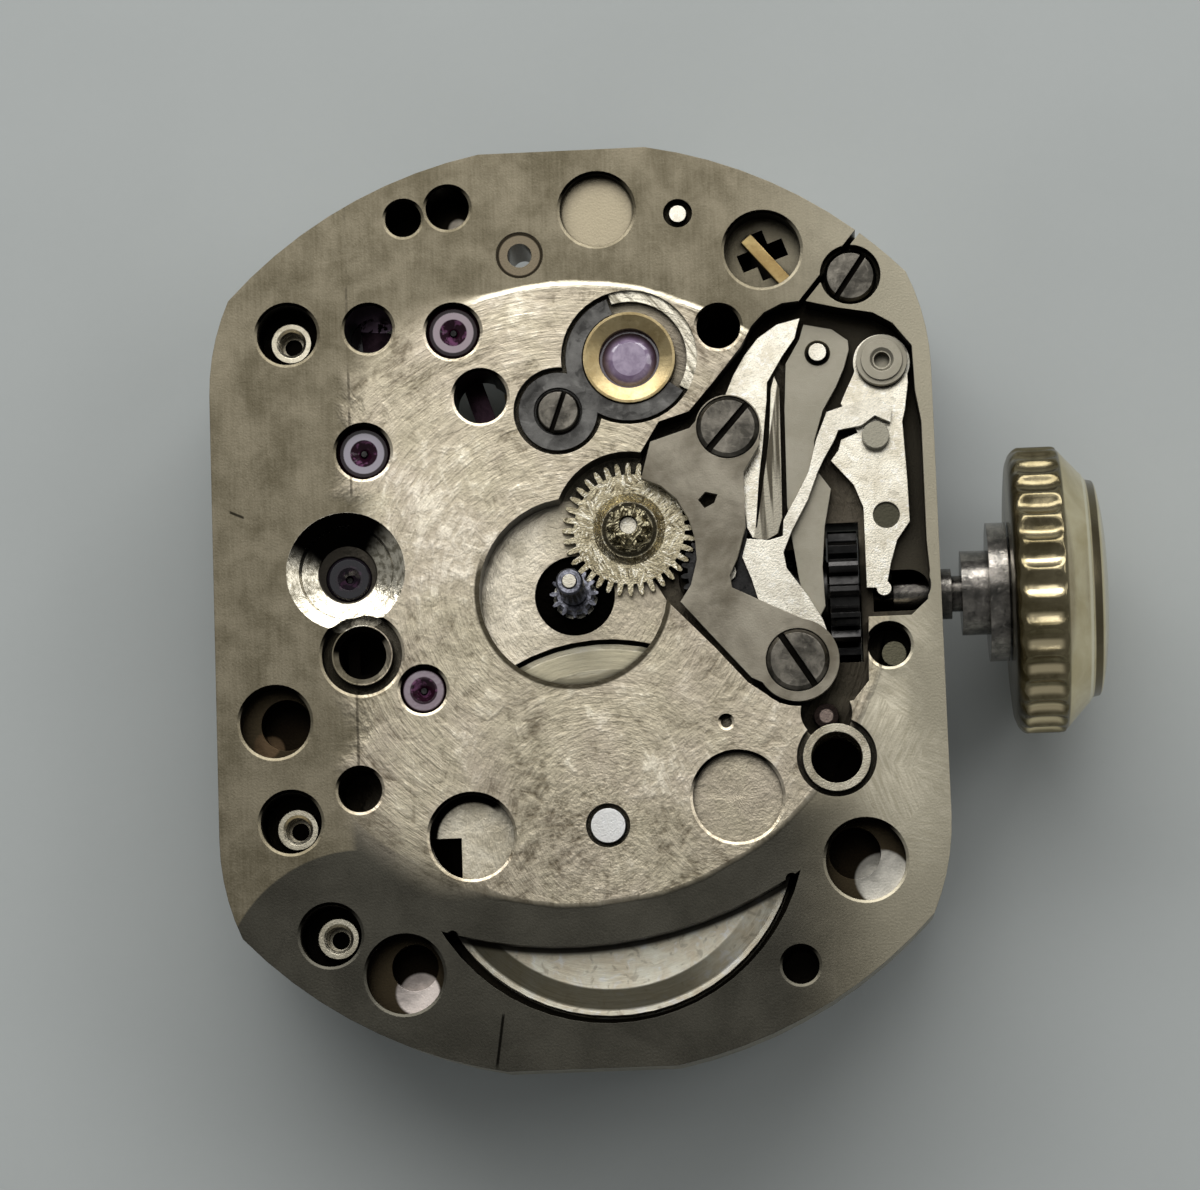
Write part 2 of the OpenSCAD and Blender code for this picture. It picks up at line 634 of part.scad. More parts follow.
module main_plate() {
    color(nickel) difference() {
        slab(0, plate_z) plate_outline();
        disc(barrel_at, drum_pocket_r, drum_pocket_z, plate_z - cut);
        disc(barrel_at, flange_room, flange_pocket_z, plate_z - cut);
        disc(barrel_at, arbor_r + run_gap, cut, plate_z);
        disc(barrel_at, arbor_r + 0.08, cut, -0.2);
        slab(cut, flange_pocket_z - cut) window_outline();
        disc(centre_at, centre_recess_r, cut, motion_z);
        disc(centre_at, 0.66, cut, -0.75);
        disc(centre_at, centre_journal_r + run_gap, cut, plate_z - cut);
        disc(centre_at, centre_leaf_pitch + 0.17, -0.95, plate_z - cut);
        keyless_recess();
        stem_room(plate_z - cut);
        disc(fourth_at, fourth_pitch + wheel_room, fourth_wheel_z + 0.05, plate_z - cut);
        disc(escape_at, escape_room, escape_wheel_z + 0.08, plate_z - cut);
        disc(escape_at, escape_leaf_pitch + 0.15, -0.7, plate_z - cut);
        fork_room();
        difference() {
            disc(endpiece_at, endpiece_r, cut, -endpiece_depth);
            slab(endpiece_ledge_z, -1) difference() {
                endpiece_opening(3);
                translate(endpiece_at) circle(endpiece_ledge_r, $fn = fine);
            }
        }
        disc(endpiece_screw_at, endpiece_lobe_r, cut, -endpiece_depth);
        disc(endpiece_screw_at, 0.15, cut, -0.75);
        disc(balance_at, chaton_r + seat_gap, cut, -0.4);
        disc(balance_at, jewel_r, cut, -0.6);
        disc(balance_at, 0.3, cut, plate_z - cut);
        for (at = [pallet_at, escape_at]) {
            disc(at, jewel_r, cut, -0.35);
            disc(at, 0.2, cut, plate_z - cut);
        }
        disc(third_at, third_jewel_r, cut, -0.35);
        disc(third_at, 0.2, cut, plate_z - cut);
        for (i = [0:len(fourth_sink) - 2]) cone(fourth_sink_at, fourth_sink[i][0],
            fourth_sink[i + 1][0], -fourth_sink[i][1], -fourth_sink[i + 1][1]);
        disc(fourth_at, third_jewel_r, cut, fourth_wheel_z);
        disc(ring_hole_at, ring_hole_r, cut, plate_z - cut);
        cone(ring_hole_at, ring_lip_r - 0.02, ring_hole_r, -0.05, -0.12);
        disc(ring_hole_at, ring_lip_r + 0.001, cut, -0.05);
        ring(ring_hole_at, ring_groove_r, ring_lip_r, cut, -0.35);
        for (h = open_holes) disc(h, h[2], cut, plate_z - cut);
        for (h = blind_holes) disc(h, h[2], cut, -h[3]);
        for (h = deep_holes) disc(h, h[2], cut, well_z);
        for (h = concat(open_holes, blind_holes, rimmed_places))
            cone(h, h[2] + hole_bevel_w, h[2], 0.001, -hole_bevel);
        slab(cut, drum_pocket_z - cut) intersection() {
            translate(pocket_window_at) circle(pocket_window_r, $fn = fine);
            translate(pocket_window_corner - [1, 1]) square(1);
        }
        for (at = [dial_foot_a, dial_foot_b]) disc(at, dial_foot_r, cut, plate_z - cut);
        for (a = [20, 110]) translate([foot_window_at[0], foot_window_at[1], -0.9]) rotate(a)
            cube([foot_window[1], foot_window[0], 2], center = true);
        disc(bush_at, bush_r, cut, plate_z - cut);
        disc(cock_screw_at, screw_r + 0.1, cut, -0.25);
        disc(cock_screw_at, screw_r + seat_gap, cut, plate_z - cut);
        disc(corner_at, corner_head_r + 0.07, cut, -0.3);
        disc(corner_at, 0.2, cut, -1.2);
        slab(cut, keyless_z) bar(slit_from, slit_to, slit_w, slit_w);
        disc(big_tube_at, big_tube_r + seat_gap, cut, -1.2);
        disc(bridge_pin_at, 0.2 + seat_gap, cut, plate_z - cut);
        disc(side_pin_at, 0.2 + seat_gap, cut, plate_z - cut);
        for (at = tube_wells) disc(at, well_r, cut, well_z);
        for (at = tube_spots) disc(at, tube_r + seat_gap, cut, plate_z - cut);
        for (at = [train_screws[1], barrel_screws[2]])
            disc(at, screw_r + seat_gap, screw_tip_z + 0.05, plate_z - cut);
        disc(yoke_at, yoke_post_r + seat_gap, cut, post_foot_z);
        disc(minute_at, minute_post_r + seat_gap, cut, post_foot_z);
        disc(setting_at, setting_post_r + seat_gap, cut, post_foot_z);
        disc(lever_axle_at, 0.2 + seat_gap, cut, -1.1);
        disc(cover_upper_at, 0.16, cut, -1.1);
        disc(cover_lower_at, 0.16, cut, -1.1);
        disc(pallet_foot_at, 0.12, plate_z + 0.4, plate_z - cut);
    }
}

module train_jewels() {
    color(ruby) {
        jewel(pallet_at, jewel_r, -0.08, -0.35);
        jewel(escape_at, jewel_r, -0.14, -0.35);
        jewel(third_at, third_jewel_r, -0.08, -0.35);
        jewel(fourth_at, third_jewel_r, -0.34, fourth_wheel_z + 0.1);
        jewel(balance_at, jewel_r, -0.42, -0.6);
        jewel(third_at, 0.3, bridge_z + 0.22, bridge_z, false);
        jewel(fourth_at, 0.3, bridge_z + 0.22, bridge_z, false);
        jewel(escape_at, 0.3, bridge_z + 0.22, bridge_z, false);
        jewel(pallet_at, 0.25, plate_z - 0.2, plate_z - 0.4, false);
        jewel(balance_at, 0.4, cock_end_z + 0.24, cock_end_z, false);
    }
}

module cap_jewels() {
    color(ruby) {
        disc(balance_at, cap_r - seat_gap, -0.26, -0.4);
        cone(balance_at, 0.28, cap_r - 0.05, -0.18, -0.26);
        disc(balance_at, 0.34, cock_end_z, cock_end_z - 0.14);
    }
}

module lower_endpiece() {
    color(dark_steel) difference() {
        slab(-0.06, -endpiece_depth) {
            translate(balance_at) circle(endpiece_r - 0.07, $fn = fine);
            translate(endpiece_screw_at) circle(endpiece_lobe_r - 0.08, $fn = fine);
        }
        disc(balance_at, chaton_r + 0.02, cut, -1);
        slab(cut, -1) endpiece_opening(0);
        disc(endpiece_screw_at, 0.16, cut, -1);
        disc(endpiece_screw_at, 0.4, cut, -0.12);
    }
}

module chaton() {
    color(brass) difference() {
        disc(balance_at, chaton_r, -0.02, -0.4);
        disc(balance_at, cap_r, cut, -0.5);
        cone(balance_at, 0.72, cap_r - 0.001, -0.019, -0.09);
    }
}

module bushes_and_tubes() {
    color(steel) {
        ring(bush_at, bush_r - seat_gap, 0.2, -0.03, plate_z);
        for (at = tube_spots) difference() {
            ring(at, tube_r, screw_r + seat_gap, tube_end_z, plate_z);
            cone(at, tube_mouth_r + 0.05, tube_mouth_r, tube_end_z + 0.001, tube_end_z - 0.03);
            disc(at, tube_mouth_r, tube_end_z, well_z);
        }
        ring(big_tube_at, big_tube_r, big_tube_r - big_tube_wall, -0.06, -1.2);
    }
}

module posts_and_pins() {
    color(steel) {
        disc(yoke_at, yoke_post_r, lever_z + 0.1, post_foot_z);
        disc(minute_at, minute_post_r, -0.02, post_foot_z);
        disc(setting_at, setting_post_r, setting_wheel_z + 0.05, post_foot_z);
        disc(bridge_pin_at, 0.2, -0.5, plate_z - 0.4);
        disc(side_pin_at, 0.2, -0.55, plate_z - 0.4);
        disc(cock_screw_at, screw_r, -0.04, -0.3);
    }
}

module corner_screw() {
    color(dark_steel) screw(corner_at, corner_head_r, -0.08, -0.3, 0.19, -1.1, 55);
}

module minute_work_cover() {
    color(nickel) difference() {
        union() {
            slab(0, -cover_t) {
                polygon(cover_outline);
                translate(cover_upper_at) circle(cover_upper_r, $fn = fine);
                translate(cover_lower_at) circle(cover_lower_r, $fn = fine);
            }
            disc(cover_upper_at, 0.45, -cover_t, lever_z);
            disc(cover_lower_at, 0.6, -cover_t, lever_spring_z);
        }
        for (at = [cover_upper_at, cover_lower_at]) {
            disc(at, 0.16, cut, -2);
            disc(at, cover_head_r + 0.02, cut, -0.08);
        }
        slab(cut, -1) polygon([[2.1, 1.42], [2.22, 1.55], [2.42, 1.5], [2.36, 1.36], [2.2, 1.28]]);
    }
}

module cover_screws() {
    color(dark_steel) {
        screw(cover_upper_at, cover_head_r, 0.06, -0.08, 0.15, -1, 48);
        screw(cover_lower_at, cover_head_r, 0.06, -0.08, 0.15, -1, -58);
    }
}

module setting_lever_spring() {
    color(steel) difference() {
        union() {
            slab(lever_spring_z, lever_spring_z - lever_spring_t) polygon(lever_spring_outline);
            disc(cover_lower_at, cover_lower_r - 0.06, lever_spring_z,
                lever_spring_z - lever_spring_t);
        }
        disc(cover_lower_at, 0.16, cut, -2);
    }
}

module setting_lever() {
    color(steel) difference() {
        union() {
            slab(lever_z, lever_z - lever_t) {
                polygon(lever_outline);
                translate(lever_axle_at) circle(lever_axle_r + 0.13, $fn = fine);
            }
            disc(lever_stud_at, lever_stud_r, lever_spring_z + 0.04, lever_z);
            disc([5.08, stem_y + 0.02], 0.12, lever_z, stem_z + stem_groove_r + 0.05);
        }
        disc(lever_axle_at, lever_axle_r + run_gap, cut, -2);
        disc(lever_sink_at, lever_sink_r, cut, lever_z - 0.1);
    }
}

module setting_lever_axle() {
    color(steel) difference() {
        union() {
            disc(lever_axle_at, lever_axle_r, -0.16, keyless_z);
            disc(lever_axle_at, lever_axle_r + 0.08, -0.2, -0.34);
            disc(lever_axle_at, 0.2, keyless_z, -1.05);
        }
        cone(lever_axle_at, 0.2, 0.15, -0.159, -0.2);
        disc(lever_axle_at, 0.13, cut, -0.4);
    }
}

module yoke() {
    color(steel) difference() {
        union() {
            slab(lever_z, lever_z - lever_t) polygon(yoke_outline);
            translate([groove_x[0] + slide_gap, stem_y - 0.3, stem_z + groove_r + slide_gap])
                cube([groove_x[1] - groove_x[0] - 2*slide_gap, 0.34,
                    lever_z - lever_t - stem_z - groove_r]);
        }
        disc(yoke_at, yoke_post_r + run_gap, cut, -2);
        cone(yoke_at, yoke_post_r + 0.07, yoke_post_r + run_gap, lever_z + 0.001, lever_z - 0.06);
    }
}

module yoke_spring() {
    color(steel) difference() {
        slab(lever_z, keyless_z) {
            polygon(spring_root_outline);
            polygon(spring_blade_outline);
        }
        disc(cover_upper_at, 0.16, cut, -2);
    }
}

module setting_wheel() {
    color(steel) slab(setting_wheel_z, setting_wheel_z - setting_wheel_t) translate(setting_at)
        difference() {
            gear(setting_teeth, setting_pitch,
                meshed(heading(minute_at, setting_at), minute_phase, minute_teeth, setting_teeth));
            circle(setting_post_r + run_gap, $fn = fine);
        }
}

module minute_wheel() {
    color(brass) difference() {
        union() {
            slab(minute_wheel_z, minute_wheel_z - minute_wheel_t) translate(minute_at)
                gear(minute_teeth, minute_pitch, minute_phase, minute_tooth);
            pinion(minute_at, 10, 0.31, 0.06, minute_wheel_z);
        }
        disc(minute_at, minute_post_r + run_gap, cut, -2);
        difference() {
            cone(minute_at, minute_sink_r, minute_sink_r - 0.13, minute_wheel_z + 0.001,
                minute_wheel_z - 0.05);
            disc(minute_at, 0.37, cut, -1);
        }
    }
}

// The tube's thin neck, where a dent would grip the arbor, lies between the leaves and the hand
module cannon_pinion() {
    neck_z = (leaves_top_z + hand_seat_z)/2;
    color(dark_steel) difference() {
        union() {
            pinion(centre_at, cannon_leaves, cannon_pitch, leaves_top_z, motion_z - 0.02);
            cone(centre_at, cannon_r + 0.09, cannon_r + 0.05, motion_z - 0.02, -0.73);
            cone(centre_at, cannon_r - 0.04, cannon_r, neck_z, leaves_top_z);
            cone(centre_at, cannon_r, cannon_r - 0.04, hand_seat_z, neck_z);
            disc(centre_at, cannon_r, cannon_h - 0.03, hand_seat_z);
            cone(centre_at, cannon_r - 0.03, cannon_r, cannon_h, cannon_h - 0.03);
        }
        disc(centre_at, centre_post_r + post_taper + seat_gap, cannon_h + cut, -0.9);
    }
}

module centre_arbor() {
    color(steel) {
        cone(centre_at, centre_post_r, centre_post_r + post_taper, cannon_h + 0.06, -0.74);
        disc(centre_at, centre_journal_r, -0.74, -1);
        pinion(centre_at, centre_leaves, centre_leaf_pitch, -1, centre_wheel_z + 0.03);
        disc(centre_at, staff_r, centre_wheel_z + 0.03, bridge_z + 0.02);
    }
}

module centre_wheel() {
    color(brass) train_wheel(centre_at, centre_teeth, centre_pitch, centre_wheel_z);
}

module third_arbor() {
    color(steel) {
        arbor(third_at, -0.14, bridge_z + 0.05);
        pinion(third_at, third_leaves, third_leaf_pitch, centre_wheel_z + 0.04, third_wheel_z + 0.01,
            meshed(heading(centre_at, third_at), 0, centre_teeth, third_leaves));
    }
}

module third_wheel() {
    color(brass) train_wheel(third_at, third_teeth, third_pitch, third_wheel_z);
}

module fourth_arbor() {
    color(steel) {
        arbor(fourth_at, -0.5, bridge_z + 0.05);
        pinion(fourth_at, fourth_leaves, fourth_leaf_pitch, third_wheel_z + 0.05,
            third_wheel_z - wheel_t - 0.05,
            meshed(heading(third_at, fourth_at), 0, third_teeth, fourth_leaves));
    }
}

module fourth_wheel() {
    color(brass) train_wheel(fourth_at, fourth_teeth, fourth_pitch, fourth_wheel_z);
}

module escape_arbor() {
    color(steel) {
        arbor(escape_at, -0.2, bridge_z + 0.05);
        pinion(escape_at, escape_leaves, escape_leaf_pitch, fourth_wheel_z + 0.08,
            fourth_wheel_z - wheel_t - 0.08,
            meshed(heading(fourth_at, escape_at), 0, fourth_teeth, escape_leaves));
    }
}

module escape_wheel() {
    color(steel) translate([escape_at[0], escape_at[1], escape_wheel_z - wheel_t])
        linear_extrude(wheel_t) difference() {
            polygon([for (i = [0:14], p = escape_tooth)
                polar([0, 0], p[1]*escape_r, 16.5 + (i + p[0])*24)]);
            spokes_cut(4, 0.35, 1.25, 0.16);
            circle(staff_r + seat_gap, $fn = fine);
        }
}

module barrel() {
    color(brass) difference() {
        union() {
            disc(barrel_at, drum_r, drum_z - drum_lip, drum_foot_z);
            cone(barrel_at, drum_face_r, drum_r - 0.08, drum_z, drum_z - drum_lip);
            slab(flange_z, drum_foot_z) translate(barrel_at) gear(barrel_teeth, barrel_pitch,
                meshed(heading(centre_at, barrel_at), 0, centre_leaves, barrel_teeth));
        }
        disc(barrel_at, drum_r - drum_wall, drum_z - drum_wall, drum_foot_z - cut);
        disc(barrel_at, arbor_r + run_gap, cut, -2);
    }
}

module barrel_cover() {
    color(brass) ring(barrel_at, drum_r - drum_wall - seat_gap, arbor_r + run_gap,
        drum_foot_z + 0.1, drum_foot_z);
}

module barrel_arbor() {
    square_w = 1.25*arbor_r;
    color(steel) difference() {
        union() {
            disc(barrel_at, arbor_r, -0.02, bridge_z - 0.01);
            disc(barrel_at, arbor_hub_r, drum_z - drum_wall - 0.02, drum_foot_z + 0.12);
            translate([barrel_at[0], barrel_at[1], winding_z - winding_t/2])
                cube([square_w, square_w, winding_t + 0.1], center = true);
        }
        disc(barrel_at, 0.12, -1.6, -3);
    }
}

module mainspring() {
    turns = 8;
    steps = 24;
    blade = 0.06;
    inner = arbor_hub_r + 0.05;
    outer = drum_r - drum_wall - 0.1;
    function spiral(t, side) = polar(barrel_at, inner + (outer - inner)*t/turns + side*blade/2, 360*t);
    color(blue_steel) slab(drum_z - drum_wall - 0.04, drum_foot_z + 0.14) polygon(concat(
        [for (i = [0:turns*steps]) spiral(i/steps, 1)],
        [for (i = [turns*steps:-1:0]) spiral(i/steps, -1)]));
}

module ratchet_wheel() {
    hole_w = 1.25*arbor_r + 2*seat_gap;
    color(steel) slab(winding_z, winding_z - winding_t) translate(barrel_at) difference() {
        gear(ratchet_teeth, ratchet_pitch,
            meshed(heading(crown_wheel_at, barrel_at), 0, crown_wheel_teeth, ratchet_teeth),
            ratchet_tooth);
        square(hole_w, center = true);
    }
}

module ratchet_screw() {
    color(steel) screw(barrel_at, 0.78, winding_z - winding_t - 0.2, winding_z - winding_t - 0.03,
        0.11, -1.75, 15);
}

module crown_wheel() {
    color(steel) slab(winding_z, winding_z - winding_t) translate(crown_wheel_at) difference() {
        gear(crown_wheel_teeth, crown_wheel_pitch, 0, ratchet_tooth);
        circle(0.5 + run_gap, $fn = fine);
    }
}

module crown_wheel_core() {
    color(steel) difference() {
        union() {
            disc(crown_wheel_at, 0.5, bridge_z, winding_z - winding_t - 0.02);
            disc(crown_wheel_at, 0.75, winding_z - winding_t - 0.02, winding_z - winding_t - 0.09);
        }
        disc(crown_wheel_at, screw_r + seat_gap, -2, -3);
    }
}

module click() {
    tooth = ratchet_pitch/ratchet_teeth;
    beak = polar(barrel_at, ratchet_pitch + 2.4*tooth, heading(barrel_at, click_at) + 12);
    color(steel) difference() {
        slab(winding_z, winding_z - winding_t) {
            translate(click_at) circle(0.34, $fn = fine);
            bar(click_at, beak, 0.5, 0.12);
            bar(click_at, polar(click_at, 0.8, heading(barrel_at, click_at) - 80), 0.4, 0.2);
        }
        disc(click_at, click_screw_r + run_gap, -2, -3);
    }
}

module click_spring() {
    root = polar(click_at, 1.5, heading(barrel_at, click_at) - 75);
    color(steel) difference() {
        slab(winding_z, winding_z - 0.14) {
            translate(root) circle(0.24, $fn = fine);
            bar(root, polar(click_at, 0.78, heading(barrel_at, click_at) - 42), 0.14, 0.07);
        }
        disc(root, 0.1, -2, -3);
    }
}

module pallet_fork() {
    way = heading(pallet_at, balance_at);
    reach = distance(pallet_at, balance_at) - fork_slot_from;
    color(steel) slab(fork_z, fork_z - fork_t) difference() {
        union() {
            bar(pallet_at, polar(pallet_at, reach - 0.2, way), 0.3, 0.14);
            bar(polar(pallet_at, reach - 0.25, way), polar(pallet_at, reach + 0.08, way), 0.16, 0.42);
            for (a = stone_angles)
                bar(pallet_at, polar(escape_at, escape_r + 0.3, a), 0.32, 0.34);
            translate(pallet_at) circle(0.26, $fn = fine);
        }
        bar(polar(pallet_at, reach - 0.08, way), polar(pallet_at, reach + 0.2, way), 0.15, 0.15);
        for (a = stone_angles) stone_outline(a);
        translate(pallet_at) circle(staff_r + seat_gap, $fn = fine);
    }
}

module stone_outline(a) {
    translate(polar(escape_at, escape_r + stone_gap, a)) rotate(a)
        translate([0, -stone_size[1]/2]) square(stone_size);
}

module pallet_stones() {
    color(ruby) slab(fork_z + 0.02, fork_z - fork_t - 0.02) for (a = stone_angles) stone_outline(a);
}

module pallet_arbor() {
    color(steel) arbor(pallet_at, -0.14, plate_z - 0.37);
}

module pallet_cock_outline(gap) {
    translate(pallet_at) circle(0.42 + gap, $fn = fine);
    bar(pallet_at, pallet_foot_at, 0.7 + 2*gap, 0.8 + 2*gap);
    translate(pallet_foot_at) circle(0.5 + gap, $fn = fine);
}

module pallet_cock() {
    color(nickel) difference() {
        slab(plate_z, plate_z - pallet_cock_t) pallet_cock_outline(0);
        disc(pallet_at, 0.25, plate_z - 0.19, -3);
        disc(pallet_at, 0.2, 0, -3);
        disc(pallet_foot_at, 0.12, 0, -3);
    }
}

module balance_wheel() {
    color(brass) {
        difference() {
            disc(balance_at, balance_r, rim_z, rim_z - rim_h);
            disc(balance_at, balance_r - rim_w, 0, -3);
        }
        slab(rim_z - 0.08, rim_z - 0.18) translate(balance_at) difference() {
            union() {
                square([2*(balance_r - rim_w) + 0.02, 0.3], center = true);
                circle(0.42, $fn = fine);
            }
            circle(0.16 + seat_gap, $fn = fine);
        }
    }
}

module balance_staff() {
    color(steel) {
        disc(balance_at, pivot_r, -0.41, cock_end_z + 0.01);
        disc(balance_at, 0.1, -0.66, cock_z + 0.06);
        disc(balance_at, 0.14, roller_z + 0.3, rim_z - 0.35);
        disc(balance_at, 0.16, rim_z + 0.02, rim_z - 0.2);
        disc(balance_at, 0.3, rim_z + 0.02, rim_z - 0.08);
    }
}

module roller() {
    color(steel) difference() {
        disc(balance_at, roller_r, roller_z, roller_z - 0.12);
        disc(balance_at, 0.14 + seat_gap, 0, -3);
        disc(polar(balance_at, impulse_at_r, heading(balance_at, pallet_at)), 0.06, 0, -3);
    }
}

module impulse_pin() {
    color(ruby) disc(polar(balance_at, impulse_at_r, heading(balance_at, pallet_at)), 0.055,
        fork_z - fork_t - 0.03, roller_z - 0.12);
}

module collet() {
    color(brass) ring(balance_at, collet_r, 0.14 + seat_gap, hair_z + 0.03, hair_z - 0.12);
}

// The hairspring is a flat ribbon on a spiral from the collet to the stud
module hairspring() {
    steps = 24;
    start = hair_stud_angle - 360*hair_turns;
    echo(least_hairspring_gap = hair_pitch - hair_blade);
    function spiral(t, side) = polar(balance_at,
        hair_in + hair_pitch*t + side*hair_blade/2, start + 360*t);
    color(blue_steel) slab(hair_z, hair_z - hair_h) polygon(concat(
        [for (i = [0:hair_turns*steps]) spiral(i/steps, 1)],
        [for (i = [hair_turns*steps:-1:0]) spiral(i/steps, -1)]));
}

module hairspring_stud() {
    color(steel) difference() {
        disc(hair_stud_at, hair_stud_r, hair_z + 0.06, cock_end_z - 0.05);
        translate([hair_stud_at[0], hair_stud_at[1], hair_z - hair_h/2]) rotate(hair_stud_angle)
            cube([hair_blade + 2*seat_gap, 1, hair_h + 2*seat_gap], center = true);
    }
}

module cock_outline() {
    intersection() {
        plate_outline(0.08);
        difference() {
            polygon([balance_at, polar(balance_at, 6, 12), polar(balance_at, 6, 45),
                polar(balance_at, 6, 84)]);
            translate(balance_at) circle(balance_room + 0.02, $fn = 96);
        }
    }
}

module balance_cock() {
    color(nickel) difference() {
        union() {
            slab(plate_z, cock_end_z) cock_outline();
            slab(cock_z, cock_end_z) {
                translate(balance_at) circle(0.95, $fn = fine);
                bar(balance_at, polar(balance_at, balance_room + 0.3, 46), 1.9, 3);
                bar(balance_at, hair_stud_at, 0.6, 0.6);
                translate(hair_stud_at) circle(0.3, $fn = fine);
            }
        }
        disc(balance_at, 0.4, cock_end_z + 0.25, -4);
        disc(balance_at, 0.2, 0, -4);
        disc(hair_stud_at, hair_stud_r + seat_gap, 0, -4);
        disc(cock_screw_at, screw_r + seat_gap, 0, -4);
        disc(cock_screw_at, screw_head_r + 0.03, cock_end_z + 0.2, -4);
    }
}

module regulator() {
    coil_r = hair_r - hair_pitch*(hair_stud_angle - regulator_angle + 360)/360;
    pins = [for (side = [-1, 1]) polar(balance_at, coil_r + side*0.065, regulator_angle)];
    color(steel) difference() {
        union() {
            slab(cock_end_z - 0.01, cock_end_z - 0.1) {
                translate(balance_at) circle(0.66, $fn = fine);
                bar(balance_at, polar(balance_at, 1.9, regulator_angle + 160), 0.4, 0.12);
                bar(balance_at, polar(balance_at, hair_r + 0.15, regulator_angle), 0.36, 0.3);
            }
            for (at = pins) disc(at, 0.025, hair_z, cock_end_z - 0.1);
        }
        disc(balance_at, 0.42 + run_gap, 0, -4);
    }
}

module upper_endpiece() {
    color(steel) difference() {
        disc(balance_at, 0.42, cock_end_z, cock_end_z - 0.16);
        disc(balance_at, 0.34 + seat_gap, 0, -4);
    }
}

module bridge_bores(screws) {
    for (at = screws) {
        disc(at, screw_r + seat_gap, 0, -4);
        disc(at, screw_head_r + 0.03, bridge_z + 0.3, -4);
    }
}

module train_bridge() {
    color(nickel) difference() {
        slab(plate_z, bridge_z) difference() {
            intersection() {
                plate_outline(0.05);
                polygon(concat(split_line, train_top_line));
            }
            translate(balance_at) circle(balance_room + 0.02, $fn = 96);
        }
        train_room();
        slab(plate_z + cut, plate_z - pallet_cock_t - 0.25) pallet_cock_outline(0.1);
        disc(escape_at, 0.25, plate_z + cut, bridge_z + 0.3);
        disc(centre_at, staff_r + run_gap, 0, -4);
        for (at = [third_at, fourth_at, escape_at]) {
            disc(at, 0.3, bridge_z + 0.22, -4);
            disc(at, staff_r + 0.05, 0, -4);
        }
        bridge_bores(train_screws);
    }
}

module barrel_bridge() {
    color(nickel) difference() {
        slab(plate_z, bridge_z) difference() {
            intersection() {
                plate_outline(0.05);
                polygon(concat([for (p = split_line) [p[0] + bridge_gap, p[1] - bridge_gap]],
                    barrel_top_line));
            }
            translate(balance_at) circle(balance_room + 0.02, $fn = 96);
        }
        train_room();
        stem_room(-stem_deep - sliding_r - slide_gap);
        slab(0, -4) translate([slot_in[0], stem_y - winding_r - slide_gap])
            square([slot_in[1] - slot_in[0], 2*(winding_r + slide_gap)]);
        disc(barrel_at, arbor_r + run_gap, 0, -4);
        disc(crown_wheel_at, screw_r + seat_gap, 0, -4);
        disc(click_at, click_screw_r + seat_gap, 0, -4);
        disc(polar(click_at, 1.5, heading(barrel_at, click_at) - 75), 0.1, 0, -4);
        for (at = [bridge_pin_at, side_pin_at]) disc(at, 0.2 + seat_gap, 0, plate_z - 0.42);
        bridge_bores(barrel_screws);
    }
}

module bridge_screws() {
    color(steel) {
        for (at = concat(train_screws, barrel_screws))
            screw(at, screw_head_r, bridge_z + 0.02, bridge_z + 0.3, screw_r, screw_tip_z, 12*at[1]);
        screw(cock_screw_at, screw_head_r, cock_end_z - 0.02, cock_end_z + 0.2, screw_r, -0.4, 75);
        screw(crown_wheel_at, 0.6, winding_z - winding_t - 0.25, winding_z - winding_t - 0.09,
            screw_r, -1.6, 60);
    }
}

module small_screws() {
    spring_root = polar(click_at, 1.5, heading(barrel_at, click_at) - 75);
    color(dark_steel) {
        screw(endpiece_screw_at, 0.36, 0, -0.12, 0.14, -0.7, endpiece_slot_turn);
        screw(pallet_foot_at, 0.34, plate_z - 0.58, plate_z - 0.4, 0.11, plate_z + 0.35, 20);
        screw(click_at, 0.32, winding_z - winding_t - 0.16, winding_z - winding_t - 0.02,
            click_screw_r, bridge_z + click_screw_long, click_slot_turn);
        screw(spring_root, 0.22, winding_z - 0.3, winding_z - 0.14, 0.09, bridge_z + 0.4, 10);
    }
}

module winding_stem() {
    half = stem_square/2;
    color(steel) {
        along_stem(stem_pilot_r, stem_pilot_x, sliding_room_x);
        translate([sliding_room_x, stem_y - half, stem_z - half])
            cube([winding_x[0] - sliding_room_x, stem_square, stem_square]);
        along_stem(0.3, winding_x[0], winding_x[1]);
        along_stem(stem_r, winding_x[1] + 0.08, stem_groove_x[0]);
        along_stem(stem_groove_r, winding_x[1], stem_groove_x[1]);
        along_stem(stem_r, stem_groove_x[1], stem_shoulder_x);
        along_stem(stem_neck_r, stem_shoulder_x, stem_end_x);
    }
}

// Clutch teeth face one another between the sliding pinion and the winding pinion
module clutch_teeth(from, to, turn) {
    for (i = [0:5]) translate([from, stem_y, stem_z]) rotate([i*60 + turn, 0, 0])
        translate([0, -0.09, 0.38]) cube([to - from, 0.18, 0.24]);
}

module winding_pinion() {
    color(steel) difference() {
        translate([winding_x[0], stem_y, stem_z]) rotate([0, 90, 0])
            linear_extrude(winding_x[1] - winding_x[0])
            gear(16, winding_r*0.9, 0, ratchet_tooth);
        along_stem(0.3 + run_gap, 0, 6);
        clutch_teeth(winding_x[0] - cut, winding_x[0] + 0.12, 30);
        for (i = [0:5]) translate([winding_x[0], stem_y, stem_z]) rotate([i*60, 0, 0])
            translate([-cut, -0.12, 0.36]) cube([cut + 0.12, 0.24, 0.3]);
    }
}

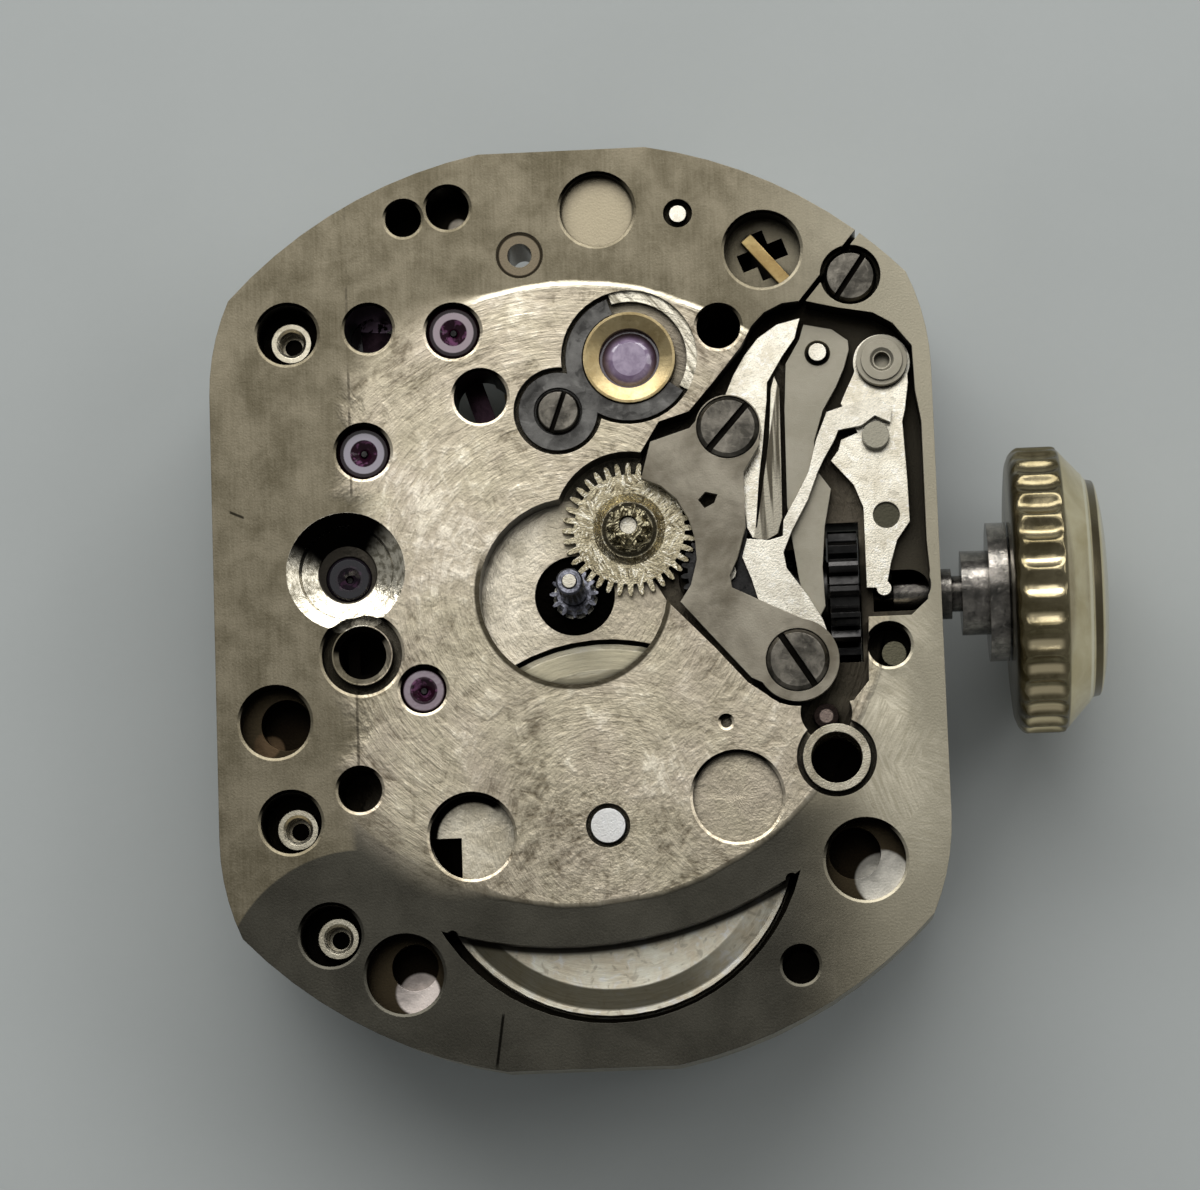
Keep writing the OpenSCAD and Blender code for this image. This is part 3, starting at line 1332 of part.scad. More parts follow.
module sliding_pinion() {
    hole_w = stem_square + 2*run_gap;
    color(steel) difference() {
        union() {
            along_stem(sliding_r - 0.06, sliding_x[0], groove_x[0]);
            along_stem(groove_r, groove_x[0], groove_x[1]);
            along_stem(sliding_r - 0.06, groove_x[1], sliding_x[1]);
            clutch_teeth(sliding_x[1] - 0.02, winding_x[0] + 0.06, 0);
            for (i = [0:11]) translate([sliding_x[0], stem_y, stem_z]) rotate([i*30, 0, 0])
                translate([0, -0.06, 0.5]) cube([0.3, 0.12, sliding_r - 0.5]);
        }
        translate([0, stem_y, stem_z]) cube([20, hole_w, hole_w], center = true);
    }
}

module crown() {
    shoulder = 0.42;
    rim = 0.14;
    band_end = crown_band;
    end = band_end + shoulder + rim;
    color(gold) translate([crown_in, stem_y, stem_z]) rotate([0, 90, 0]) difference() {
        union() {
            cylinder(r1 = crown_r - 0.2, r2 = crown_r - 0.04, h = 0.12, $fn = 96);
            translate([0, 0, 0.12]) cylinder(r = crown_r, h = band_end - 0.12, $fn = 96);
            translate([0, 0, band_end]) cylinder(r1 = crown_r - 0.06, r2 = crown_r - 0.47,
                h = shoulder, $fn = 96);
            translate([0, 0, band_end + shoulder]) cylinder(r1 = crown_r - 0.5,
                r2 = crown_r - 0.64, h = rim, $fn = 96);
            translate([0, 0, end]) cylinder(r1 = crown_r - 0.66, r2 = crown_r - 1.6, h = 0.18, $fn = 96);
        }
        for (i = [0:flutes - 1]) rotate(i*360/flutes) translate([crown_r + 0.06, 0, -cut])
            cylinder(r = 0.19, h = band_end + cut - 0.02, $fn = 24);
        translate([0, 0, -cut]) cylinder(r = crown_bore_r, h = crown_bore_depth + cut, $fn = fine);
    }
}

module crown_tube() {
    color(steel) difference() {
        union() {
            along_stem(crown_hub_r, crown_hub_x[0], crown_hub_x[1]);
            along_stem(crown_flange_r, crown_hub_x[1], crown_hub_x[2]);
            along_stem(crown_bore_r - seat_gap, crown_hub_x[2], crown_in + crown_bore_depth);
        }
        along_stem(stem_neck_r + seat_gap, 6, stem_end_x + 0.02);
    }
}

main_plate();
train_jewels();
cap_jewels();
lower_endpiece();
chaton();
bushes_and_tubes();
posts_and_pins();
corner_screw();
minute_work_cover();
cover_screws();
setting_lever_spring();
setting_lever();
setting_lever_axle();
yoke();
yoke_spring();
setting_wheel();
minute_wheel();
cannon_pinion();
centre_arbor();
centre_wheel();
third_arbor();
third_wheel();
fourth_arbor();
fourth_wheel();
escape_arbor();
escape_wheel();
barrel();
barrel_cover();
barrel_arbor();
mainspring();
ratchet_wheel();
ratchet_screw();
crown_wheel();
crown_wheel_core();
click();
click_spring();
pallet_fork();
pallet_stones();
pallet_arbor();
pallet_cock();
balance_wheel();
balance_staff();
roller();
impulse_pin();
collet();
hairspring();
hairspring_stud();
balance_cock();
regulator();
upper_endpiece();
train_bridge();
barrel_bridge();
bridge_screws();
small_screws();
winding_stem();
winding_pinion();
sliding_pinion();
crown();
crown_tube();
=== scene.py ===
import json
import math

import bmesh
import bpy
from mathutils import Matrix, Vector


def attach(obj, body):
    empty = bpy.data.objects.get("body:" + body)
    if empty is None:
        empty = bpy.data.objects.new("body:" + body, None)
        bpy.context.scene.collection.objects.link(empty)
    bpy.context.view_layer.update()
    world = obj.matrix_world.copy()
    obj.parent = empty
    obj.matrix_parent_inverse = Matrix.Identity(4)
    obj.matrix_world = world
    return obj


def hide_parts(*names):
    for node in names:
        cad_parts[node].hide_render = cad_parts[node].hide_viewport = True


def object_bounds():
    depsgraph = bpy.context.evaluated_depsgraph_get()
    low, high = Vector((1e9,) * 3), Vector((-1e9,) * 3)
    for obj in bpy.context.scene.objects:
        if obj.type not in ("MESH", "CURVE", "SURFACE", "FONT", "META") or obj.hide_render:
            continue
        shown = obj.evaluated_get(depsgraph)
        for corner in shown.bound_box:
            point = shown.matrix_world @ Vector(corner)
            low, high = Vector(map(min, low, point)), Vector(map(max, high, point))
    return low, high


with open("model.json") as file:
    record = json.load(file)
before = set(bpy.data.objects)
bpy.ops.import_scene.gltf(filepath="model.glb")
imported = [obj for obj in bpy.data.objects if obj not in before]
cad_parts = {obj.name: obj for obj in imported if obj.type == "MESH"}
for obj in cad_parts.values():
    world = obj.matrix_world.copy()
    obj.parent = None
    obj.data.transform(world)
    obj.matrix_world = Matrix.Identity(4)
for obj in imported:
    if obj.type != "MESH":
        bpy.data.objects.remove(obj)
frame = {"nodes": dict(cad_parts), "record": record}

cad_box = [list(corner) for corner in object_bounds()]

# Camera
# The movement was photographed from almost straight above, a little below and to the right of
# the axis of the hands, with a long lens and turned two degrees.
MM = 0.001
camera_at = Vector((3.7, -10.6, 73.0)) * MM
aim_at = Vector((0.439, -0.084, 0.0)) * MM
focal_px, image_width, film_width = 4519.0, 1200.0, 36.0
roll = math.radians(2.0)
forward = (aim_at - camera_at).normalized()
level_right = forward.cross(Vector((0, 1, 0))).normalized()
level_up = level_right.cross(forward)
right = level_right * math.cos(roll) - level_up * math.sin(roll)
up = level_right * math.sin(roll) + level_up * math.cos(roll)
stand = Matrix((right, up, -forward)).transposed().to_4x4()
camera_data = bpy.data.cameras.new("copy_stand_camera")
camera_data.sensor_fit = "HORIZONTAL"
camera_data.sensor_width = film_width
camera_data.lens = focal_px * film_width / image_width
camera_data.clip_start = 0.002
camera_data.clip_end = 2.0
camera = bpy.data.objects.new("copy_stand_camera", camera_data)
camera.matrix_world = Matrix.Translation(camera_at) @ stand
bpy.context.scene.collection.objects.link(camera)
bpy.context.scene.camera = camera

# Light
# Soft daylight from the twelve o'clock side, with a wide diffuser overhead that the flat
# steel reflects, and an even pale room around. Each softbox faces the movement.
bpy.context.scene.view_settings.view_transform = "Standard"


def softbox(name, at, width, height, radiance):
    lamp = bpy.data.lights.new(name, "AREA")
    lamp.shape = "RECTANGLE"
    lamp.size, lamp.size_y = width * MM, height * MM
    lamp.energy = radiance * math.pi * lamp.size * lamp.size_y
    held = bpy.data.objects.new(name, lamp)
    held.location = Vector(at) * MM
    held.rotation_euler = (-held.location).to_track_quat("-Z", "Y").to_euler()
    bpy.context.scene.collection.objects.link(held)


softbox("overhead_diffuser", (-6, 44, 120), 60, 60, 1.25)
softbox("window_light", (-6, 105, 95), 230, 58, 5.0)
softbox("right_reflector", (88, 25, 85), 50, 50, 2.2)
world = bpy.data.worlds.new("pale_room")
bpy.context.scene.world = world
world.use_nodes = True
room = world.node_tree.nodes["Background"].inputs
room["Color"].default_value = (0.62, 0.635, 0.64, 1.0)
room["Strength"].default_value = 0.4


# Mat
# A grey-blue sheet of matt card under the movement, which rests on its crown and its back.
# The shader tools below build its colour first, and every other finish after it.
def fill(tree, node, sockets):
    """Set or link a node's inputs, which are named, or numbered as in _0."""
    for key, value in sockets.items():
        socket = node.inputs[int(key[1:]) if key[0] == "_" else key.replace("_", " ")]
        if isinstance(value, bpy.types.NodeSocket):
            tree.links.new(value, socket)
        else:
            socket.default_value = value


def put(tree, kind, settings=None, **sockets):
    made = tree.nodes.new("ShaderNode" + kind)
    for key, value in (settings or {}).items():
        setattr(made, key, value)
    fill(tree, made, sockets)
    return made


def maths(tree, operation, *values):
    sockets = {f"_{i}": value for i, value in enumerate(values)}
    return put(tree, "Math", {"operation": operation}, **sockets).outputs[0]


def chain(tree, operation, values):
    """One sum, product or the like of any number of values."""
    total = values[0]
    for value in values[1:]:
        total = maths(tree, operation, total, value)
    return total


def times(tree, *values):
    return chain(tree, "MULTIPLY", values)


def blend(tree, factor, first, second, kind="MIX"):
    first, second = ((*c, 1.0) if isinstance(c, tuple) else c for c in (first, second))
    return put(tree, "MixRGB", {"blend_type": kind}, Fac=factor, Color1=first,
               Color2=second).outputs["Color"]


def in_mm(tree):
    """The place on the object in millimetres, and the direction that its surface faces."""
    place = put(tree, "TexCoord")
    scaled = put(tree, "VectorMath", {"operation": "SCALE"}, _0=place.outputs["Object"],
                 Scale=1 / MM)
    return scaled.outputs["Vector"], place.outputs["Normal"]


def lay_on(tree, **values):
    """Set or link the inputs of a finish's own shader."""
    fill(tree, tree.nodes["Principled BSDF"], values)


def new_material(name, **values):
    made = bpy.data.materials.new(name)
    made.use_nodes = True
    lay_on(made.node_tree, **values)
    return made, made.node_tree


card_gap, card_reach = 0.02, 600.0
card_finish, tree = new_material("grey_card", Roughness=0.9)
place = in_mm(tree)[0]
mottle = put(tree, "TexNoise", Vector=place, Scale=0.25, Detail=4.0).outputs["Fac"]
fibre = put(tree, "TexNoise", Vector=place, Scale=6.0, Detail=2.0).outputs["Fac"]
paper = blend(tree, mottle, (0.385, 0.405, 0.395), (0.425, 0.445, 0.435))
paper = blend(tree, times(tree, fibre, 0.12), paper, (0.33, 0.35, 0.34))
lay_on(tree, Base_Color=paper)
sheet = bmesh.new()
bmesh.ops.create_grid(sheet, x_segments=8, y_segments=8, size=card_reach * MM)
bmesh.ops.translate(sheet, verts=sheet.verts, vec=(0, 0, cad_box[0][2] - card_gap * MM))
card_mesh = bpy.data.meshes.new("grey_card")
sheet.to_mesh(card_mesh)
sheet.free()
card = bpy.data.objects.new("grey_card", card_mesh)
card_mesh.materials.append(card_finish)
bpy.context.scene.collection.objects.link(card)


# Main plate
# A nickel-plated brass plate, turned and milled on its dial side. Its worn plating is bright
# and full of tool strokes where the middle was turned, dull beside it and dark at six o'clock.
def plus(tree, *values):
    return chain(tree, "ADD", values)


def minus(tree, *values):
    return chain(tree, "SUBTRACT", values)


def over(tree, *values):
    return chain(tree, "DIVIDE", values)


def most(tree, *values):
    return chain(tree, "MAXIMUM", values)


def vector(tree, operation, *values):
    sockets = {f"_{i}": value for i, value in enumerate(values)}
    outputs = put(tree, "VectorMath", {"operation": operation}, **sockets).outputs
    return outputs["Value" if operation in ("DOT_PRODUCT", "LENGTH") else "Vector"]


def parts_of(tree, whole):
    return put(tree, "SeparateXYZ", Vector=whole).outputs


def ramp(tree, factor, low, high):
    """A soft step from 0 at the first value to 1 at the second, which may be the lower one."""
    return put(tree, "MapRange", {"interpolation_type": "SMOOTHSTEP"}, Value=factor,
               From_Min=low, From_Max=high).outputs["Result"]


def line_at(tree, value, middle, outer, inner):
    """A line where a value passes its middle, from its faint outer to its full inner edge."""
    return ramp(tree, maths(tree, "ABSOLUTE", minus(tree, value, middle)), outer, inner)


def effect(name, inputs, outputs):
    """A node group for a kind of wear, tool mark or painted shade that several finishes share."""
    group = bpy.data.node_groups.new(name, "ShaderNodeTree")
    for label, value in inputs.items():
        socket = group.interface.new_socket(name=label, in_out="INPUT",
                                            socket_type="NodeSocketFloat")
        socket.default_value = value
    for label in outputs:
        group.interface.new_socket(name=label, in_out="OUTPUT", socket_type="NodeSocketFloat")
    given = group.nodes.new("NodeGroupInput").outputs
    return group, given, group.nodes.new("NodeGroupOutput")


def use(tree, group, **values):
    made = tree.nodes.new("ShaderNodeGroup")
    made.node_tree = group
    fill(tree, made, values)
    return made.outputs


# Patches, grain and scratches of handled metal, each with its own size in millimetres.
worn_metal, given, result = effect(
    "worn_metal", {"Patch Size": 1.2, "Grain Size": 0.05, "Scratch Size": 1.0},
    ["Patches", "Grain", "Scratches"])
place = in_mm(worn_metal)[0]
patch_scale, grain_scale, line_scale = (
    over(worn_metal, 1.0, given[f"{mark} Size"]) for mark in ("Patch", "Grain", "Scratch"))
patches = put(worn_metal, "TexNoise", Vector=place, Scale=patch_scale, Detail=5.0,
              Roughness=0.6, Distortion=0.4).outputs["Fac"]
grain = put(worn_metal, "TexNoise", Vector=place, Scale=grain_scale, Detail=2.0).outputs["Fac"]
scratches = []
for turn, stretch, seed in ((0.55, 16.0, 3.1), (-0.9, 13.0, 7.7), (1.35, 18.0, 12.4)):
    laid = put(worn_metal, "Mapping", Vector=place, Location=(seed, seed, 0),
               Rotation=(0, 0, turn), Scale=(1.3, stretch, 1.0)).outputs[0]
    line = put(worn_metal, "TexNoise", Vector=laid, Scale=line_scale, Detail=1.0,
               Distortion=0.3).outputs["Fac"]
    scratches.append(ramp(worn_metal, line, 0.69, 0.77))
fill(worn_metal, result, {"Patches": ramp(worn_metal, patches, 0.3, 0.72), "Grain": grain,
                          "Scratches": most(worn_metal, *scratches)})

# Rings that a cutter left round an axis, and how far from that axis the place is.
tool_rings, given, result = effect(
    "tool_rings", {"Centre X": 0.0, "Centre Y": 0.0, "Pitch": 0.06}, ["Rings", "Radius"])
centre = put(tool_rings, "CombineXYZ", X=given["Centre X"], Y=given["Centre Y"]).outputs[0]
x, y, z = parts_of(tool_rings, vector(tool_rings, "SUBTRACT", in_mm(tool_rings)[0], centre))
radius = maths(tool_rings, "POWER", plus(tool_rings, times(tool_rings, x, x),
                                         times(tool_rings, y, y)), 0.5)
swept = times(tool_rings, maths(tool_rings, "ARCTAN2", y, x), 6.0)
unrolled = put(tool_rings, "CombineXYZ", X=over(tool_rings, radius, given["Pitch"]),
               Y=swept).outputs[0]
rings = put(tool_rings, "TexNoise", Vector=unrolled, Scale=1.0, Detail=3.0,
            Roughness=0.65).outputs["Fac"]
fill(tool_rings, result, {"Rings": rings, "Radius": radius})

# Straight strokes of a lap, which change direction from patch to patch.
lapped, given, result = effect(
    "lapped_strokes", {"Patch Size": 0.9, "Width": 0.03, "Length": 0.4}, ["Tone"])
place = in_mm(lapped)[0]
drift = put(lapped, "TexNoise", Vector=place, Scale=1.1, Detail=2.0).outputs["Color"]
wander = vector(lapped, "MULTIPLY_ADD", drift, (1.1, 1.1, 0.0), place)
cells = put(lapped, "TexVoronoi", Vector=wander,
            Scale=over(lapped, 1.0, given["Patch Size"])).outputs["Color"]
turn = times(lapped, parts_of(lapped, cells)[0], 3.14)
turned = put(lapped, "VectorRotate", {"rotation_type": "Z_AXIS"}, Vector=place,
             Angle=turn).outputs[0]
grid = put(lapped, "CombineXYZ", X=over(lapped, 1.0, given["Width"]),
           Y=over(lapped, 1.0, given["Length"]), Z=1.0).outputs[0]
tone = put(lapped, "TexNoise", Vector=vector(lapped, "MULTIPLY", turned, grid), Scale=1.0,
           Detail=3.0, Roughness=0.6, Distortion=0.25).outputs["Fac"]
fill(lapped, result, {"Tone": tone})

# Short curled strokes, bright on one side and dark on the other.
tool_strokes, given, result = effect(
    "tool_strokes", {"Stroke Size": 0.3}, ["Bright", "Dark", "Relief"])
curled = put(tool_strokes, "TexNoise", Vector=in_mm(tool_strokes)[0],
             Scale=over(tool_strokes, 1.0, given["Stroke Size"]), Detail=2.5,
             Roughness=0.55, Distortion=0.9).outputs["Fac"]
fill(tool_strokes, result, {"Bright": ramp(tool_strokes, curled, 0.54, 0.72),
                            "Dark": ramp(tool_strokes, curled, 0.44, 0.3), "Relief": curled})

# Painted shade on the walls of holes and recesses, most on those that look towards six o'clock,
# away from the light.
wall_shade, given, result = effect("wall_shade", {"Amount": 0.8, "Depth": 0.1}, ["Mask"])
place, facing = in_mm(wall_shade)
to_six = (0.2, -0.98, 0.0)
height = parts_of(wall_shade, place)[2]
up_share = maths(wall_shade, "ABSOLUTE", parts_of(wall_shade, facing)[2])
on_wall = minus(wall_shade, 1.0, ramp(wall_shade, up_share, 0.2, 0.8))
below = ramp(wall_shade, times(wall_shade, height, -1.0), 0.0, given["Depth"])
lean = vector(wall_shade, "DOT_PRODUCT", facing, to_six)
below = times(wall_shade, below, most(wall_shade, ramp(wall_shade, lean, -0.55, 0.15),
                                     ramp(wall_shade, height, -0.25, -0.4)))
fill(wall_shade, result, {"Mask": times(wall_shade, on_wall, below, given["Amount"])})

# Painted shade, with some old oil, in corners, deep holes and against taller pieces. Its occlusion
# leans towards the light at twelve o'clock.
oil_and_shade, given, result = effect("oil_and_shade", {"Reach": 0.2, "Amount": 1.0}, ["Mask"])
facing = put(oil_and_shade, "NewGeometry").outputs["Normal"]
leaning = vector(oil_and_shade, "NORMALIZE", vector(oil_and_shade, "ADD", facing, (-0.18, 0.77, 0.22)))
shade = put(oil_and_shade, "AmbientOcclusion", {"samples": 6}, Normal=leaning,
            Distance=times(oil_and_shade, given["Reach"], MM)).outputs["AO"]
fill(oil_and_shade, result, {"Mask": times(oil_and_shade, ramp(oil_and_shade, shade, 0.76, 0.28),
                                     given["Amount"])})


# Painted shade, with some old oil, in the corners about a place.
def oily_shade(tree, reach, amount):
    return use(tree, oil_and_shade, Reach=reach, Amount=amount)["Mask"]


def turned_about(tree, at, pitch=0.06):
    return use(tree, tool_rings, Centre_X=at[0], Centre_Y=at[1], Pitch=pitch)


def near(tree, at):
    """How far the place is from the axis of a hole or a piece, in millimetres."""
    return turned_about(tree, at)["Radius"]


def within(tree, at, reach, soft):
    """A round spot about an axis, whose edge is soft by so much on either side."""
    return ramp(tree, near(tree, at), reach + soft, reach - soft)


def deeper(tree, height, depth, soft):
    """What lies deeper than this below the dial face of the plate."""
    return ramp(tree, height, soft - depth, -soft - depth)


def centred(tree, value, gain):
    """A pattern's swing about its middle value of a half."""
    return times(tree, minus(tree, value, 0.5), gain)


def as_value(tree, colour):
    return put(tree, "RGBToBW", Color=colour).outputs[0]


def paint(tree, under, mask, tone, cover=1.0):
    """Lay a tone over a colour where a mask says, as fully as the cover says."""
    if cover < 1.0:
        mask = times(tree, mask, cover)
    return blend(tree, mask, under, tone)


def bump(tree, height, distance, strength=0.5, edge=0.012):
    rounded = put(tree, "Bevel", {"samples": 4}, Radius=edge * MM).outputs["Normal"]
    made = put(tree, "Bump", Height=height, Strength=strength, Distance=distance * MM,
               Normal=rounded)
    lay_on(tree, Normal=made.outputs["Normal"])


def dress(names, finish):
    for name in names:
        mesh = frame["nodes"][name].data
        mesh.materials.clear()
        mesh.materials.append(finish)


# A near black for real grime in lines and scratches, and for painted shade elsewhere.
grime_and_shade = (0.0016, 0.0013, 0.001)
plate_w, plate_h, plate_mid, plate_round, plate_corner = 11.9, 15.15, (0.05, -0.2), 7.7, 3.9
turned_radius, milled_edge = 5.15, -3.6
barrel_at, balance_at, fourth_sink_at = (0.44, -3.86), (1.05, 3.85), (-3.72, 0.48)
pocket_cut_at, lower_cut_at, lower_cut_radius = (2.56, -3.48), (-3.6, -6.45), 2.35
round_pocket_at, window_at, big_tube_at = (0.6, 6.35), (-1.78, -3.96), (4.19, -2.92)
big_wells = ((-2.93, -6.16), (4.59, -4.58), (-4.94, -1.97))
recess_radius, pit_radius, well_depth, recess_depth = 1.6, 0.695, 0.25, 0.58
sink_radius, eye_radius, sink_depth, ledge_radius, ledge_depth = 0.98, 0.51, 0.35, 1.25, 0.1
plate_finish, tree = new_material("worn_nickel_plate", Metallic=1.0)
place, facing = in_mm(tree)
x, y, z = parts_of(tree, place)
wear = use(tree, worn_metal, Patch_Size=1.3, Grain_Size=0.035, Scratch_Size=0.9)
broad = use(tree, worn_metal, Patch_Size=2.6, Grain_Size=0.12, Scratch_Size=2.0)
clouds = use(tree, worn_metal, Patch_Size=0.5, Grain_Size=0.1, Scratch_Size=2.0)["Patches"]
hands = turned_about(tree, (0.0, 0.0))
barrel_cut = turned_about(tree, barrel_at)
pocket_cut = turned_about(tree, pocket_cut_at, 0.07)
lower_cut = turned_about(tree, lower_cut_at, 0.05)["Radius"]
wide_arcs = turned_about(tree, (0.0, 0.0), 0.2)["Rings"]
wide_cut = turned_about(tree, barrel_at, 0.24)["Rings"]
curls = use(tree, tool_strokes, Stroke_Size=0.28)["Relief"]
crumbs = use(tree, tool_strokes, Stroke_Size=0.11)["Relief"]
long_strokes = use(tree, lapped, Patch_Size=1.1, Width=0.05, Length=0.5)["Tone"]
radius = hands["Radius"]

# The turned middle, whose edge is frayed and soft at the left, and the zone at six o'clock.
frayed = plus(tree, radius, centred(tree, wear["Patches"], 0.05))
softness = maths(tree, "MULTIPLY_ADD", ramp(tree, x, -1.2, -2.6), 0.4, 0.04)
in_turning = ramp(tree, frayed, plus(tree, softness, turned_radius),
                  minus(tree, turned_radius - 0.02, softness))
side = plus(tree, x, times(tree, wear["Patches"], 0.5))
past_edge = ramp(tree, side, milled_edge - 0.05, milled_edge + 0.5)
inside = times(tree, in_turning, past_edge)
south = times(tree, ramp(tree, radius, turned_radius - 0.02, turned_radius + 0.02),
              ramp(tree, y, -3.3, -3.9), ramp(tree, x, -3.8, -3.6), ramp(tree, x, 5.2, 3.0))
south = most(tree, south, ramp(tree, lower_cut, lower_cut_radius + 0.02,
                               lower_cut_radius - 0.02))

# Bright plating in the middle, rubbed by tools that turned about the hands and the barrel.
near_barrel = ramp(tree, barrel_cut["Radius"], 3.2, 2.0)
marks = blend(tree, near_barrel, hands["Rings"], barrel_cut["Rings"])
marks = as_value(tree, blend(tree, ramp(tree, pocket_cut["Radius"], 1.9, 1.3), marks,
                             pocket_cut["Rings"]))
arcs = as_value(tree, blend(tree, near_barrel, wide_arcs, wide_cut))
level = plus(tree, centred(tree, broad["Patches"], 0.34), 0.56)
# Five broad spots are painted brighter, as a painted sheen of the overhead light.
for at, reach, gain in (((-1.9, 1.5), 2.6, 0.24), ((-1.0, 4.9), 1.7, 0.2),
                        ((-2.3, -2.3), 1.7, 0.16), ((3.2, -2.0), 1.3, 0.2),
                        ((1.4, -3.1), 1.2, 0.16)):
    level = plus(tree, level, times(tree, ramp(tree, near(tree, at), reach, 0.2), gain))
for tone, gain in ((clouds, 0.25), (marks, 0.6), (arcs, 0.85), (long_strokes, 0.6),
                   (curls, 0.75), (crumbs, 0.25), (wear["Grain"], 0.15)):
    level = plus(tree, level, centred(tree, tone, gain))
level = as_value(tree, paint(tree, level, deeper(tree, z, 0.08, 0.02), (0.58, 0.58, 0.58), 0.6))
bright = blend(tree, ramp(tree, level, 0.0, 0.7), (0.17, 0.14, 0.09), (0.6, 0.53, 0.385))
bright = blend(tree, ramp(tree, level, 0.66, 1.2), bright, (1.0, 0.92, 0.72))
bright = blend(tree, times(tree, wear["Patches"], 0.6), bright, (0.93, 0.89, 0.98), "MULTIPLY")

# Dull plating about it, brushed from twelve to six and rubbed bare in spots at the right.
brushed = put(tree, "Mapping", Vector=place, Scale=(24.0, 1.1, 1.0)).outputs[0]
brushed = put(tree, "TexNoise", Vector=brushed, Scale=1.0, Detail=3.0).outputs["Fac"]
quiet = plus(tree, centred(tree, wear["Patches"], 0.4), 0.55, centred(tree, brushed, 0.4),
             centred(tree, clouds, 0.3), centred(tree, wear["Grain"], 0.4))
dull = blend(tree, ramp(tree, quiet, 0.0, 1.0), (0.11, 0.093, 0.058), (0.27, 0.235, 0.165))
dull = paint(tree, dull, ramp(tree, x, 2.5, 5.9), (0.4, 0.365, 0.275), 0.8)
bare_metal = blend(tree, ramp(tree, long_strokes, 0.3, 0.7), (0.5, 0.45, 0.33),
                   (0.8, 0.73, 0.57))
for at, reach, cover in (((4.9, -2.1), 0.85, 1.0), ((5.15, -3.1), 1.2, 0.6),
                         ((5.45, -0.9), 0.7, 0.45), ((5.4, -3.9), 1.2, 0.4)):
    rubbed = plus(tree, near(tree, at), centred(tree, clouds, 0.3), centred(tree, curls, 0.5))
    dull = paint(tree, dull, ramp(tree, rubbed, reach, 0.0), bare_metal, cover)
murk = plus(tree, centred(tree, wear["Patches"], 0.6), centred(tree, wear["Grain"], 0.5), 0.5)
dull = paint(tree, dull, south, blend(tree, murk, (0.045, 0.042, 0.033), (0.1, 0.093, 0.073)))
colour = blend(tree, inside, dull, bright)

# The step of the milled edge, the scribed line at six o'clock, the dark line round the
# cannon pinion's recess and the short scratch at the left.
milled = times(tree, line_at(tree, x, -3.59, 0.03, 0.012), ramp(tree, y, -2.9, -2.7),
               most(tree, ramp(tree, wear["Patches"], 0.3, 0.6), ramp(tree, y, -1.2, -1.5)))
colour = paint(tree, colour, milled, (0.06, 0.05, 0.035), 0.7)
scribed = times(tree, line_at(tree, plus(tree, times(tree, y, -0.154), x), -0.3, 0.035, 0.012),
                ramp(tree, y, -6.8, -6.9), ramp(tree, y, -7.8, -7.6))
colour = paint(tree, colour, scribed, grime_and_shade, 0.9)
edge_line = times(tree, ramp(tree, radius, recess_radius + 0.04, recess_radius),
                  ramp(tree, z, -0.04, -0.02), ramp(tree, y, 0.9, 0.3))
colour = paint(tree, colour, edge_line, (0.03, 0.024, 0.012), 0.92)
scratch = times(tree, line_at(tree, plus(tree, times(tree, x, 0.45), y), -0.98, 0.03, 0.015),
                line_at(tree, x, -5.49, 0.13, 0.1))
colour = paint(tree, colour, scratch, grime_and_shade, 0.85)

# Floors of the recess, the round pocket, the window's sink and the wells.
recess_floor = times(tree, ramp(tree, radius, recess_radius, recess_radius - 0.04),
                     deeper(tree, z, recess_depth - 0.02, 0.01),
                     deeper(tree, z, recess_depth + 0.015, -0.005))
colour = paint(tree, colour, times(tree, recess_floor, ramp(tree, x, 0.2, -0.9)),
               blend(tree, clouds, (0.6, 0.53, 0.4), (1.0, 0.9, 0.72)))
pocket = times(tree, within(tree, round_pocket_at, 0.58, 0.02),
               deeper(tree, z, 0.125, 0.025))
colour = paint(tree, colour, pocket, (0.46, 0.395, 0.275), 0.85)
in_well = deeper(tree, z, well_depth, 0.05)
window_floor = times(tree, within(tree, window_at, 0.725, 0.025), in_well)
colour = paint(tree, colour, window_floor,
               blend(tree, clouds, (0.6, 0.53, 0.39), (1.0, 0.92, 0.74)), 0.8)
# Towards its upper-left wall the window's floor is painted black, as the wall's shadow.
up_left = minus(tree, minus(tree, y, window_at[1]),
                times(tree, minus(tree, x, window_at[0]), 0.6))
colour = paint(tree, colour, times(tree, window_floor, within(tree, window_at, 0.58, -0.02),
                                   ramp(tree, up_left, 0.1, 0.3)), grime_and_shade)
# The floors of the three big wells are painted dark as shade.
for at in big_wells:
    well_floor = times(tree, within(tree, at, 0.67, 0.03), in_well)
    colour = paint(tree, colour, well_floor, (0.05, 0.038, 0.022))
rim_line = times(tree, line_at(tree, frayed, turned_radius - 0.03, 0.07, 0.01), past_edge,
                 ramp(tree, x, -2.0, -1.2), ramp(tree, y, 2.5, 4.9))
colour = paint(tree, colour, rim_line, (0.85, 0.8, 0.64), 0.4)
# Everything more than 0.6 mm below the dial face is painted near black as shade.
colour = paint(tree, colour, deeper(tree, z, 0.615, 0.015), (0.011, 0.0075, 0.0045), 0.85)
pit = times(tree, ramp(tree, radius, pit_radius + 0.025, pit_radius - 0.025),
            deeper(tree, z, recess_depth + 0.015, 0.005))
colour = paint(tree, colour, pit, grime_and_shade)

